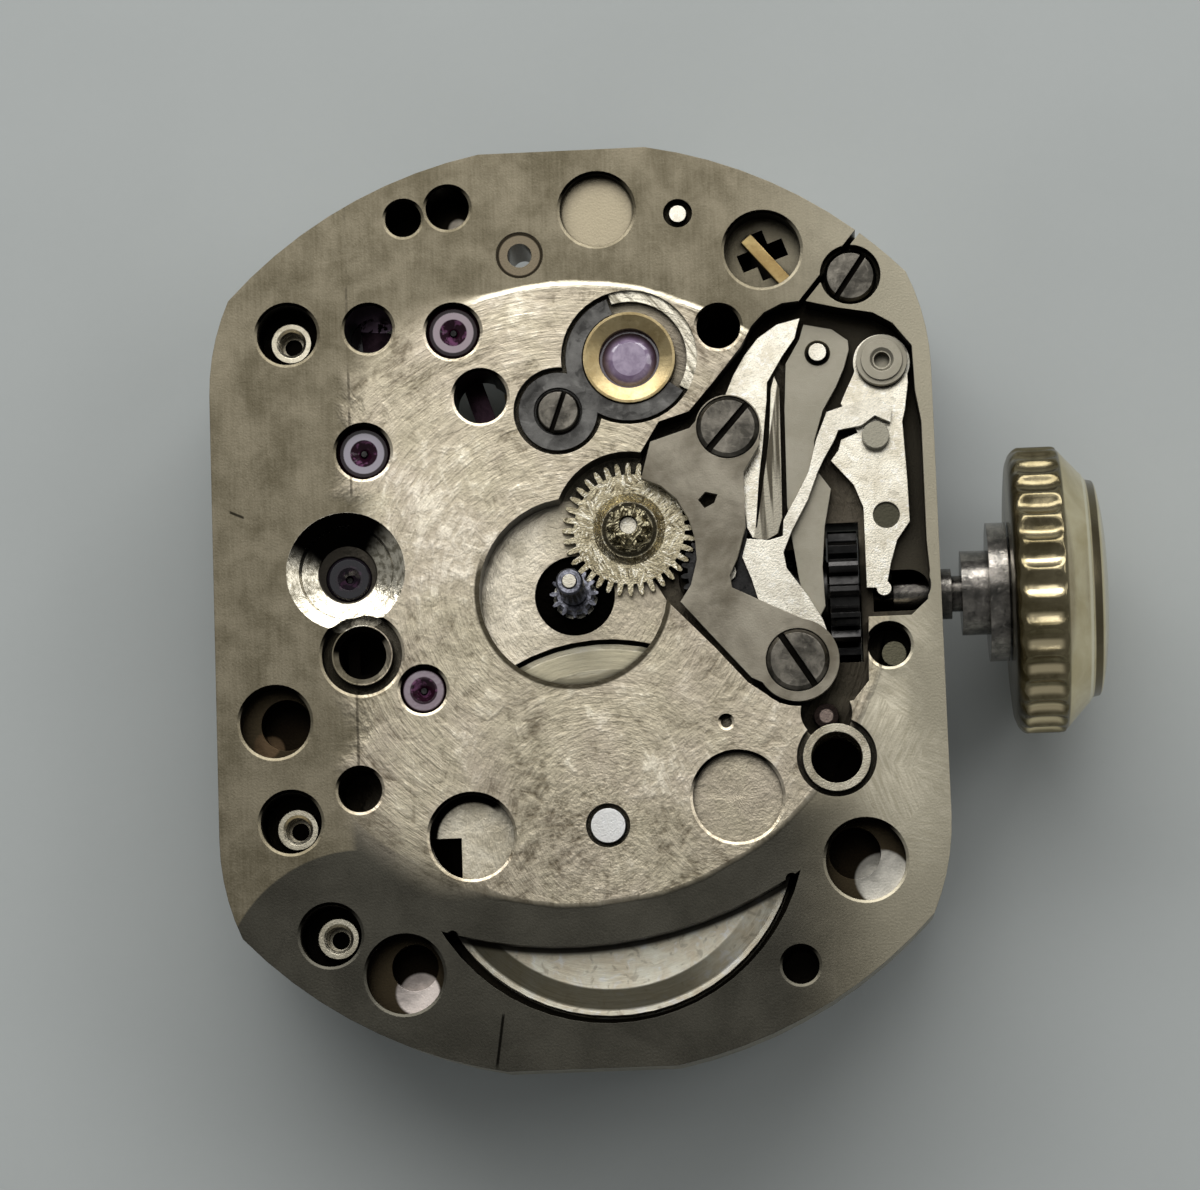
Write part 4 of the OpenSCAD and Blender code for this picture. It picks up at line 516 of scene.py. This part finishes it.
# The outer side of the plate, which is left out of the painted shade on the walls of its holes.
no_limit = 99.0
corner_at = (plate_w / 2 - plate_corner, plate_h / 2 - plate_corner, no_limit)
from_mid = vector(tree, "ABSOLUTE", vector(tree, "SUBTRACT", place, (*plate_mid, 0.0)))
past_corner = vector(tree, "LENGTH", vector(
    tree, "MAXIMUM", vector(tree, "SUBTRACT", from_mid, corner_at), (0.0, 0.0, 0.0)))
to_edge = most(tree, minus(tree, past_corner, plate_corner),
               minus(tree, near(tree, plate_mid), plate_round))
level_share = maths(tree, "ABSOLUTE", parts_of(tree, facing)[2])
on_side = times(tree, ramp(tree, to_edge, -0.06, -0.03), ramp(tree, level_share, 0.6, 0.3))
off_side = minus(tree, 1.0, on_side)
colour = paint(tree, colour, on_side,
               blend(tree, quiet, (0.16, 0.14, 0.1), (0.42, 0.38, 0.29)))
walls = use(tree, wall_shade, Amount=0.96, Depth=0.06)["Mask"]
colour = paint(tree, colour, times(tree, walls, off_side), grime_and_shade)

# The polished sink of the fourth wheel's jewel, and the ledge under the balance's endpiece.
bowl = times(tree, within(tree, fourth_sink_at, sink_radius, 0.005),
             deeper(tree, z, sink_depth, -0.005))
ledge = times(tree, within(tree, balance_at, ledge_radius, 0.05),
              ramp(tree, z, -0.08, -0.095), deeper(tree, z, ledge_depth + 0.01, -0.005))
polished = most(tree, bowl, ledge)
eye_floor = times(tree, within(tree, fourth_sink_at, eye_radius, 0.01),
                  deeper(tree, z, sink_depth, 0.005))
colour = paint(tree, colour, eye_floor, (0.016, 0.014, 0.012), 0.95)
bowl_rings = turned_about(tree, fourth_sink_at, 0.08)["Rings"]
gleam = blend(tree, ramp(tree, bowl_rings, 0.35, 0.6), (0.3, 0.27, 0.2), (0.8, 0.74, 0.6))
colour = paint(tree, colour, polished, gleam)
# The floor of the big tube's hole is painted black as shade.
tube_floor = times(tree, within(tree, big_tube_at, 0.45, 0.01), in_well)
colour = paint(tree, colour, tube_floor, grime_and_shade)

# Painted shade, with some old oil, in the corners, and painted shade on the walls turned to six
# o'clock.
oily_shaded_corners = times(tree, oily_shade(tree, 0.6, 0.97),
              minus(tree, 1.0, times(tree, recess_floor, 0.9)))
oily_shaded_corners = times(tree, most(tree, oily_shade(tree, 0.14, 0.9), oily_shaded_corners),
              minus(tree, 1.0, times(tree, polished, 0.9)))
colour = paint(tree, colour, oily_shaded_corners, grime_and_shade)
turned_away = ramp(tree, vector(tree, "DOT_PRODUCT", facing, to_six), 0.06, 0.26)
colour = paint(tree, colour, times(tree, turned_away, off_side), grime_and_shade)
# Painted pools of light on the floors of four wells, shaded towards their upper-left walls.
light_slope, shaded_share = 0.8, 0.3
for at, reach, tone in (((-2.76, -6.44), 0.38, (1.0, 0.88, 0.8)),
                        ((4.85, -4.85), 0.47, (0.9, 0.85, 0.74)),
                        ((-5.12, -2.3), 0.24, (0.12, 0.08, 0.045)),
                        ((-1.78, 6.4), 0.19, (0.7, 0.62, 0.5))):
    light_pool = times(tree, ramp(tree, near(tree, at), reach, reach - 0.05), in_well)
    across = minus(tree, x, times(tree, y, light_slope), at[0] - light_slope * at[1])
    across = plus(tree, across, centred(tree, clouds, 0.5))
    shaded = tuple(shaded_share * c for c in tone)
    colour = paint(tree, colour, light_pool, blend(tree, ramp(tree, across, -0.55, 0.4), shaded, tone))
rough = plus(tree, times(tree, wear["Grain"], 0.16), 0.3)
rough = minus(tree, rough, times(tree, inside, 0.04), times(tree, polished, 0.12))
lay_on(tree, Base_Color=colour, Roughness=rough)
relief = plus(tree, times(tree, plus(tree, marks, arcs, curls), inside),
              times(tree, wear["Grain"], 0.3), times(tree, inside, 1.2))
bump(tree, relief, 0.016)
dress(["main_plate"], plate_finish)


# Steel, brass and nickel pieces
# Small turned, milled and stamped pieces, each polished, grained or blackened before it was
# fitted. Old oil and painted shade darken their corners, and what lies under the plate's holes
# is painted dark as shade.
def metal(name, dark, light, rough, patch=0.8, grain=0.03, strokes=0.3, stroke_size=0.12,
          rough_spread=0.12, relief=0.006, dark_corners=0.92, reach=0.16):
    made, tree = new_material(name, Metallic=1.0)
    wear = use(tree, worn_metal, Patch_Size=patch, Grain_Size=grain, Scratch_Size=0.5)
    marks = use(tree, tool_strokes, Stroke_Size=stroke_size)
    deep = tuple(c * 0.55 for c in dark)
    pale = tuple(min(1.0, c * 1.3) for c in light)
    colour = blend(tree, wear["Patches"], dark, light)
    colour = paint(tree, colour, marks["Dark"], deep, strokes)
    colour = paint(tree, colour, marks["Bright"], pale, strokes)
    colour = paint(tree, colour, wear["Scratches"], pale, 0.15)
    # Old oil and painted shade darken the piece's corners.
    if dark_corners:
        colour = paint(tree, colour, oily_shade(tree, reach, dark_corners), grime_and_shade)
    spread = times(tree, wear["Grain"], rough_spread)
    lay_on(tree, Base_Color=colour, Roughness=plus(tree, spread, rough - rough_spread / 2))
    bump(tree, wear["Grain"], relief, 0.35)
    return made


def opened(made):
    """The nodes of a finish, and the colour that it has so far."""
    tree = made.node_tree
    return tree, tree.nodes["Principled BSDF"].inputs["Base Color"].links[0].from_socket


polished_steel = metal("polished_steel", (0.62, 0.57, 0.46), (0.92, 0.87, 0.74), 0.22)
grained_steel = metal("grained_steel", (0.31, 0.285, 0.22), (0.37, 0.34, 0.27), 0.4,
                      grain=0.02, strokes=0.1)
black_steel = metal("blackened_steel", (0.012, 0.012, 0.012), (0.05, 0.048, 0.046), 0.25,
                    strokes=0.5)
grey_steel = metal("grey_steel", (0.05, 0.048, 0.045), (0.15, 0.145, 0.135), 0.3, patch=0.5,
                   strokes=0.6, stroke_size=0.25)
screw_steel = metal("worn_screw_steel", (0.06, 0.055, 0.046), (0.22, 0.2, 0.165), 0.3, patch=0.35,
                    strokes=0.5, stroke_size=0.18, dark_corners=0.98, reach=0.22)
worn_steel = metal("worn_steel", (0.1, 0.095, 0.085), (0.36, 0.33, 0.29), 0.2, patch=0.4,
                   strokes=0.6, dark_corners=0.97, reach=0.5)
gilt_brass = metal("gilt_brass", (0.3, 0.22, 0.1), (0.5, 0.4, 0.22), 0.34)
# The train wheels' brass and the fork's steel are painted dark, as shade under the plate.
train_brass = metal("train_brass", (0.1, 0.075, 0.035), (0.2, 0.155, 0.08), 0.6, dark_corners=0.97,
                    reach=0.6)
fork_steel = metal("shaded_fork_steel", (0.02, 0.012, 0.016), (0.07, 0.04, 0.055), 0.5,
                   patch=0.3, dark_corners=0.9, reach=0.4)
bridge_nickel = metal("bridge_nickel", (0.5, 0.48, 0.43), (0.66, 0.64, 0.58), 0.33)
cover_nickel = metal("cover_nickel", (0.15, 0.13, 0.095), (0.36, 0.325, 0.255), 0.36,
                     patch=1.1, strokes=0.2, stroke_size=0.5)
bush_nickel = metal("bush_nickel", (0.42, 0.37, 0.27), (0.75, 0.69, 0.54), 0.25)
blued_steel = metal("blued_steel", (0.03, 0.045, 0.12), (0.06, 0.085, 0.2), 0.22)
bridge_screw = metal("bridge_screw_steel", (0.5, 0.48, 0.43), (0.8, 0.77, 0.7), 0.2)
leaf_steel = metal("oiled_leaf_steel", (0.01, 0.01, 0.012), (0.05, 0.05, 0.058), 0.2,
                   patch=0.15, strokes=0.6)

# Under the plate the upper faces of bridges, train wheels and bridge screws are painted dark as
# shade.
under_plate_shade, stained_at = (0.008, 0.0065, 0.005), (-3.35, 5.1)
for made, shade in ((bridge_nickel, under_plate_shade), (train_brass, under_plate_shade), (bridge_screw, grime_and_shade)):
    tree, colour = opened(made)
    if made is bridge_nickel:
        stain = use(tree, worn_metal, Patch_Size=0.22)["Patches"]
        stain = times(tree, within(tree, stained_at, 0.55, 0.05), ramp(tree, stain, 0.35, 0.5))
        shade = blend(tree, stain, shade, (0.32, 0.22, 0.3))
    facing_up = ramp(tree, parts_of(tree, in_mm(tree)[1])[2], 0.3, 0.8)
    lay_on(tree, Base_Color=paint(tree, colour, facing_up, shade))

# The slots of the screws are painted near black, as grime and painted shade. The corner screw sits
# lower than the others.
corner_screw_at, corner_screw_drop = (4.74, 5.07), 0.12
tree, colour = opened(screw_steel)
place, facing = in_mm(tree)
lowered = maths(tree, "MULTIPLY_ADD", within(tree, corner_screw_at, 0.55, 0.05),
                corner_screw_drop, parts_of(tree, place)[2])
in_slot = times(tree, ramp(tree, lowered, -0.005, -0.02),
                ramp(tree, parts_of(tree, facing)[2], 0.3, 0.8))
lay_on(tree, Base_Color=paint(tree, colour, in_slot, grime_and_shade, 0.95))

# The cannon pinion's leaves are black, with a painted grey highlight in patches on their upper
# faces.
tree, colour = opened(leaf_steel)
facing_up = ramp(tree, parts_of(tree, in_mm(tree)[1])[2], 0.6, 0.9)
top_highlight = blend(tree, use(tree, worn_metal, Patch_Size=0.12)["Patches"], (0.06, 0.06, 0.07),
                 (0.4, 0.4, 0.46))
lay_on(tree, Base_Color=paint(tree, colour, facing_up, top_highlight))

by_slot = {
    "nickel": cover_nickel, "bridge_nickel": bridge_nickel, "gilt_brass": gilt_brass,
    "bush_nickel": bush_nickel, "drum_brass": gilt_brass, "polished_steel": polished_steel,
    "grained_steel": grained_steel, "dark_steel": black_steel, "blue_steel": blued_steel,
}
for part in frame["record"]["subparts"]:
    if part["material_slot"] in by_slot and part["node"] != "main_plate":
        dress([part["node"]], by_slot[part["material_slot"]])
dress(["lower_endpiece"], grey_steel)
dress(["corner_screw", "cover_screws", "small_screws"], screw_steel)
dress(["winding_stem", "crown_tube"], worn_steel)
dress(["setting_lever_axle"], grained_steel)
dress(["setting_wheel"], black_steel)
dress(["bridge_screws"], bridge_screw)
dress(["cannon_pinion"], leaf_steel)
dress(["centre_wheel", "third_wheel", "fourth_wheel", "escape_wheel"], train_brass)
dress(["third_arbor", "fourth_arbor", "escape_arbor", "pallet_arbor"], black_steel)
dress(["pallet_fork"], fork_steel)

# Setting lever and yoke spring
# Polished steel stampings. The lever has a grained stud and a small sink painted dark as its
# shade, and the long blade of the spring is duller than its broad root, with fine lines drawn
# along it.
lever_stud_at, lever_sink_at = (5.05, 2.41), (5.17, 1.11)
lever_steel = metal("lever_steel", (0.66, 0.6, 0.47), (0.95, 0.9, 0.76), 0.22, patch=0.5,
                    strokes=0.4)
tree, colour = opened(lever_steel)
colour = paint(tree, colour, within(tree, lever_stud_at, 0.23, 0.005), (0.3, 0.28, 0.22))
colour = paint(tree, colour, within(tree, lever_sink_at, 0.22, 0.01), (0.07, 0.065, 0.045))
lay_on(tree, Base_Color=colour)
dress(["setting_lever"], lever_steel)

root_end, blade_lean, blade_top = 2.83, 0.19, 3.5
spring_steel = metal("spring_steel", (0.66, 0.6, 0.47), (0.95, 0.9, 0.76), 0.22, patch=0.5,
                     strokes=0.4)
tree, colour = opened(spring_steel)
place = in_mm(tree)[0]
x, y, z = parts_of(tree, place)
lined = put(tree, "Mapping", Vector=place, Rotation=(0, 0, 0.08),
            Scale=(11.0, 0.5, 1.0)).outputs[0]
lined = put(tree, "TexNoise", Vector=lined, Scale=1.0, Detail=1.0).outputs["Fac"]
drawn = blend(tree, ramp(tree, lined, 0.46, 0.6), (0.08, 0.07, 0.05), (0.36, 0.33, 0.26))
from_root = minus(tree, x, maths(tree, "MULTIPLY_ADD", y, blade_lean, root_end))
on_blade = times(tree, ramp(tree, from_root, -0.02, 0.01),
                 ramp(tree, y, blade_top + 0.05, blade_top))
lay_on(tree, Base_Color=paint(tree, colour, on_blade, drawn))
dress(["yoke_spring"], spring_steel)

# Pins and bush
# Small turned steel pins and a nickel bush. The pin beside the bridge is black but for its
# tip, the one beside the stem is dull, and the bush has gone brown.
bridge_pin_at, side_pin_at, bush_at = (4.05, -2.16), (5.2, -1.17), (-0.7, 5.64)
pin_steel = metal("pin_steel", (0.62, 0.57, 0.46), (0.92, 0.87, 0.74), 0.22)
tree, colour = opened(pin_steel)
colour = paint(tree, colour, within(tree, bridge_pin_at, 0.35, 0.05), (0.02, 0.014, 0.012))
colour = paint(tree, colour, within(tree, bridge_pin_at, 0.11, 0.01), (0.26, 0.2, 0.17))
colour = paint(tree, colour, within(tree, side_pin_at, 0.325, 0.025), (0.13, 0.12, 0.08))
lay_on(tree, Base_Color=colour)
dress(["posts_and_pins"], pin_steel)

brown_bush = metal("brown_bush_nickel", (0.42, 0.37, 0.27), (0.75, 0.69, 0.54), 0.25)
tree, colour = opened(brown_bush)
colour = paint(tree, colour, within(tree, bush_at, 0.55, 0.05), (0.17, 0.14, 0.095))
colour = paint(tree, colour, within(tree, bush_at, 0.175, 0.015), (0.03, 0.022, 0.014))
colour = paint(tree, colour, line_at(tree, near(tree, bush_at), 0.36, 0.035, 0.01),
               (0.02, 0.016, 0.01))
lay_on(tree, Base_Color=colour)
dress(["bushes_and_tubes"], brown_bush)

# Minute wheel
# A brass wheel whose plating has worn pale, with fine bright creases across its face, a turned
# sink, and a dark polished pinion at its middle with painted gilt glints.
minute_at, minute_pinion_r = (0.94, 1.05), 0.385
minute_finish = metal(
    "pale_minute_wheel", (0.3, 0.25, 0.15), (0.62, 0.55, 0.38), 0.25, patch=0.3,
    strokes=0.9, stroke_size=0.1, dark_corners=0.95, reach=0.12, relief=0.02)
tree, colour = opened(minute_finish)
creases = use(tree, lapped, Patch_Size=0.3, Width=0.035, Length=0.2)["Tone"]
colour = paint(tree, colour, ramp(tree, creases, 0.52, 0.66), (0.92, 0.86, 0.7))
colour = paint(tree, colour, ramp(tree, creases, 0.42, 0.3), (0.09, 0.07, 0.04))
# The pinion is painted dark with painted gilt glints.
glinting_pinion = blend(tree, ramp(tree, creases, 0.46, 0.62), (0.05, 0.04, 0.02), (0.72, 0.64, 0.42))
colour = paint(tree, colour, within(tree, minute_at, minute_pinion_r, 0.015), glinting_pinion)
colour = paint(tree, colour, line_at(tree, near(tree, minute_at), minute_pinion_r + 0.035, 0.06,
                                     0.02), (0.03, 0.026, 0.016))
lay_on(tree, Base_Color=colour)
dress(["minute_wheel"], minute_finish)

# Barrel
# A brass drum, turned pale on its face with a sloped edge and a bright lip, and seen through
# the window of the plate and under the cannon pinion.
slope_inner, slope_outer, drum_edge, soft = 2.62, 2.95, 3.06, 0.02
window_arc_at, recess_arc_at = (-0.22, 1.15), (-0.04, 0.1)
drum_brass = metal("pale_drum_brass", (0.82, 0.72, 0.54), (1.0, 0.96, 0.8), 0.44, patch=0.35,
                   strokes=0.6, stroke_size=0.2, dark_corners=0.0)
tree, colour = opened(drum_brass)
drum = turned_about(tree, barrel_at, 0.05)
drum_radius = drum["Radius"]
bump(tree, drum["Rings"], 0.012, 0.35)
colour = paint(tree, colour, ramp(tree, drum["Rings"], 0.5, 0.62), (0.46, 0.39, 0.26), 0.15)
slope = times(tree, ramp(tree, drum_radius, slope_inner - soft, slope_inner + soft),
              ramp(tree, drum_radius, slope_outer + soft, slope_outer - soft),
              ramp(tree, parts_of(tree, in_mm(tree)[0])[0], 3.1, 1.4))
colour = paint(tree, colour, slope, (0.125, 0.11, 0.068), 0.9)
# Past its edge the drum is painted dark, as shade in the gap under the plate.
colour = paint(tree, colour, ramp(tree, drum_radius, drum_edge - soft, drum_edge + soft),
               (0.03, 0.025, 0.018))
# Under the pocket window the drum is painted black as shade.
colour = paint(tree, colour, within(tree, window_at, 0.825, 0.025), grime_and_shade)

# Painted shadow lies on the drum under the edges of the window and of the cannon pinion's
# recess, and the drum is painted darker where it lies under the recess.
from_window = near(tree, window_arc_at)
edge_shadow = times(tree, ramp(tree, from_window, 7.08, 7.0), ramp(tree, from_window, 5.5, 5.6))
colour = paint(tree, colour, edge_shadow, grime_and_shade, 0.95)
from_recess = near(tree, recess_arc_at)
edge_shadow = times(tree, ramp(tree, from_recess, 1.42, 1.5), ramp(tree, from_recess, 2.6, 2.4))
colour = paint(tree, colour, edge_shadow, grime_and_shade, 0.95)
colour = paint(tree, colour, within(tree, recess_arc_at, 1.55, 0.05),
               blend(tree, drum["Rings"], (0.2, 0.185, 0.13), (0.42, 0.38, 0.27)), 0.75)
# Painted shade, with some old oil, in the drum's corners.
colour = paint(tree, colour, oily_shade(tree, 0.12, 0.9), grime_and_shade)
lay_on(tree, Base_Color=colour)
dress(["barrel", "barrel_cover"], drum_brass)
bright_end = metal("bright_arbor_end", (0.9, 0.88, 0.84), (1.0, 0.99, 0.96), 0.3, dark_corners=0.0)
dress(["barrel_arbor"], bright_end)


# Jewels
# Ruby bearings pressed into the plate and bridges. Each stone has a polished ring about a
# dark oil sink, and the train stones differ in tint.
def stone(name, transmission):
    made, tree = new_material(name, Roughness=0.08, IOR=1.76, Transmission_Weight=transmission)
    grain = use(tree, worn_metal, Patch_Size=0.3, Grain_Size=0.05)["Grain"]
    bump(tree, grain, 0.004, 0.2)
    return made, tree


pallet_at, escape_at, third_at, fourth_at = (-1.84, 4.4), (-3.38, 2.45), (-2.5, -1.53), (-3.7, 0.4)
sink_r, stone_r, far_off = 0.225, 0.34, 9.0
ruby, tree = stone("ruby", 0.1)
nearest, tint = far_off, (0.3, 0.22, 0.28)
for at, shade in ((pallet_at, (0.27, 0.2, 0.225)), (escape_at, (0.25, 0.22, 0.26)),
                  (third_at, (0.24, 0.18, 0.21)), (fourth_at, (0.008, 0.007, 0.01))):
    tint = paint(tree, tint, within(tree, at, 0.575, 0.025), shade)
    nearest = maths(tree, "MINIMUM", near(tree, at), nearest)
oil = use(tree, worn_metal, Patch_Size=0.16, Grain_Size=0.03)["Patches"]
heart = blend(tree, ramp(tree, oil, 0.55, 0.9), (0.018, 0.004, 0.01), (0.14, 0.05, 0.11))
colour = blend(tree, ramp(tree, nearest, sink_r - 0.01, sink_r + 0.01), heart, tint)
colour = paint(tree, colour, ramp(tree, nearest, stone_r - 0.015, stone_r + 0.005),
               (0.012, 0.004, 0.006))
colour = paint(tree, colour, within(tree, fourth_at, 0.55, 0.05), (0.01, 0.009, 0.012), 0.8)
on_ring = times(tree, ramp(tree, nearest, sink_r - 0.015, sink_r + 0.015),
                ramp(tree, nearest, stone_r + 0.01, stone_r - 0.01),
                within(tree, fourth_at, 0.55, -0.05))
lay_on(tree, Base_Color=colour,
       Specular_IOR_Level=maths(tree, "MULTIPLY_ADD", on_ring, 0.42, 0.08))
dress(["train_jewels", "pallet_stones", "impulse_pin"], ruby)

pale_ruby, tree = stone("pale_ruby", 0.2)
clouded = use(tree, worn_metal, Patch_Size=0.22, Grain_Size=0.03)["Patches"]
colour = blend(tree, clouded, (0.2, 0.13, 0.23), (0.42, 0.33, 0.45))
# The stone is painted dark towards its edge, as the shadow about it.
colour = paint(tree, colour, ramp(tree, near(tree, balance_at), 0.3, 0.44), (0.06, 0.03, 0.05))
lay_on(tree, Base_Color=colour)
dress(["cap_jewels"], pale_ruby)

# Crown
# A brass crown, gold plated and polished, with thirty-two scooped flutes about its band, a
# smooth shoulder and a low dome. It is pressed over the flange of its hub.
crown_x, crown_y, crown_z = 7.15, -0.12, -1.3
crown_radius, flute_count, steps_per_flute = 2.37, 32, 12
flute_from, flute_to, flute_depth, flute_share, end_power = 0.1, 0.85, 0.1, 0.92, 3.5
band_outs = (0.22, 0.27, 0.33, 0.4, 0.5, 0.6, 0.67, 0.72, 0.76)
crown_profile = [
    (0.02, 0.92), (0.0, 1.2), (0.0, 1.9), (0.02, 2.12), (0.07, 2.25), (0.13, 2.32),
    (0.18, 2.355), *((out, crown_radius) for out in band_outs), (0.8, 2.365), (0.835, 2.35),
    (0.85, 2.31), (0.875, 2.3), (1.0, 2.16), (1.12, 2.03), (1.2, 1.94), (1.25, 1.9),
    (1.28, 1.84), (1.32, 1.8), (1.42, 1.78), (1.45, 1.74), (1.48, 1.64), (1.53, 1.4),
    (1.57, 1.1), (1.6, 0.7), (1.61, 0.3)]
turning = bmesh.new()
ring = bmesh.ops.create_circle(turning, segments=flute_count * steps_per_flute,
                               radius=1.0)["verts"]
edges = list(turning.edges)
for i, (out, radius_mm) in enumerate(crown_profile):
    if i:
        grown = bmesh.ops.extrude_edge_only(turning, edges=edges)["geom"]
        edges = [e for e in grown if isinstance(e, bmesh.types.BMEdge)]
        ring = [v for v in grown if isinstance(v, bmesh.types.BMVert)]
    lengthwise = 2.0 * (out - flute_from) / (flute_to - flute_from) - 1.0
    for v in ring:
        angle = math.atan2(v.co.y, v.co.x)
        turn = (angle * flute_count / (2 * math.pi)) % 1.0
        across = abs(turn - 0.5) / (0.5 * flute_share)
        scoop = flute_depth * max(0.0, 1.0 - across ** 2 - abs(lengthwise) ** end_power)
        v.co = Vector((math.cos(angle) * (radius_mm - scoop),
                       math.sin(angle) * (radius_mm - scoop), out))
bmesh.ops.contextual_create(turning, geom=edges)
bmesh.ops.recalc_face_normals(turning, faces=turning.faces)
bmesh.ops.rotate(turning, verts=turning.verts, cent=(0, 0, 0),
                 matrix=Matrix.Rotation(math.radians(90), 3, "Y"))
bmesh.ops.translate(turning, verts=turning.verts, vec=(crown_x, crown_y, crown_z))
bmesh.ops.scale(turning, verts=turning.verts, vec=(MM, MM, MM))
crown_mesh = bpy.data.meshes.new("fluted_crown")
turning.to_mesh(crown_mesh)
turning.free()
for face in crown_mesh.polygons:
    face.use_smooth = True
crown = bpy.data.objects.new("fluted_crown", crown_mesh)
bpy.context.scene.collection.objects.link(crown)
# The gold is painted dark on the band, as painted shade.
gold = metal("polished_gold_plate", (0.12, 0.096, 0.047), (0.3, 0.255, 0.155), 0.24, patch=1.2,
             strokes=0.25, dark_corners=0.95, reach=0.2, rough_spread=0.08, relief=0.004)
tree, colour = opened(gold)
x, y, z = parts_of(tree, in_mm(tree)[0])
outward = minus(tree, x, crown_x)
about = maths(tree, "ARCTAN2", minus(tree, y, crown_y), minus(tree, crown_z, z))
turn = maths(tree, "FRACT", times(tree, about, flute_count / (2 * math.pi)))
# The lower side of each flute is painted cream as a highlight, most on the lower flutes.
flute_highlight = times(tree, ramp(tree, turn, 0.45, 0.62), ramp(tree, turn, 0.9, 0.74),
               line_at(tree, outward, (flute_from + flute_to) / 2, 0.33, 0.22),
               ramp(tree, y, 1.6, -0.8))
colour = paint(tree, colour, flute_highlight, (0.95, 0.8, 0.5), 0.8)
shoulder = blend(tree, use(tree, worn_metal, Patch_Size=0.7)["Patches"], (0.66, 0.56, 0.34),
                 (0.86, 0.76, 0.52))
colour = paint(tree, colour, ramp(tree, outward, flute_to, flute_to + 0.04), shoulder)
dark_ring_out, bright_ring_out, dome_out = 1.37, 1.25, 1.45
colour = paint(tree, colour, line_at(tree, outward, dark_ring_out, 0.075, 0.05),
               (0.06, 0.045, 0.02), 0.85)
colour = paint(tree, colour, line_at(tree, outward, bright_ring_out, 0.035, 0.015),
               (1.0, 0.93, 0.72), 0.8)
colour = paint(tree, colour, ramp(tree, outward, dome_out, dome_out + 0.08), (0.62, 0.57, 0.44))
lay_on(tree, Base_Color=colour)
crown_mesh.materials.append(gold)
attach(crown, "stem")
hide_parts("crown")

# Brass strip
# A thin strip sheared from sheet brass, its edges a little rounded. It lies across the opening
# at one o'clock under the plate's face, and what holds it is out of sight.
strip_at, strip_turn = (3.36, 5.46, -0.44), math.radians(-50)
strip_length, strip_width, strip_thickness, strip_edge = 1.0, 0.22, 0.07, 0.015
sharp_angle = 0.6
strip_form = bmesh.new()
bmesh.ops.create_grid(strip_form, x_segments=6, y_segments=2, size=0.5)
bmesh.ops.scale(strip_form, verts=strip_form.verts, vec=(strip_length, strip_width, 1.0))
thick = bmesh.ops.extrude_face_region(strip_form, geom=list(strip_form.faces))["geom"]
bmesh.ops.translate(strip_form, vec=(0, 0, strip_thickness),
                    verts=[v for v in thick if isinstance(v, bmesh.types.BMVert)])
bmesh.ops.recalc_face_normals(strip_form, faces=strip_form.faces)
rim = [e for e in strip_form.edges if e.calc_face_angle(0.0) > sharp_angle]
bmesh.ops.bevel(strip_form, geom=rim, offset=strip_edge, segments=2, profile=0.5, material=-1,
                affect="EDGES")
bmesh.ops.rotate(strip_form, verts=strip_form.verts, cent=(0, 0, 0),
                 matrix=Matrix.Rotation(strip_turn, 3, "Z"))
bmesh.ops.translate(strip_form, verts=strip_form.verts, vec=strip_at)
bmesh.ops.scale(strip_form, verts=strip_form.verts, vec=(MM, MM, MM))
strip_mesh = bpy.data.meshes.new("brass_strip")
strip_form.to_mesh(strip_mesh)
strip_form.free()
strip = bpy.data.objects.new("brass_strip", strip_mesh)
bpy.context.scene.collection.objects.link(strip)
strip_brass = metal("strip_brass", (0.3, 0.2, 0.08), (0.5, 0.38, 0.17), 0.35, dark_corners=0.6)
strip_mesh.materials.append(strip_brass)
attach(strip, "movement")

bpy.context.view_layer.update()
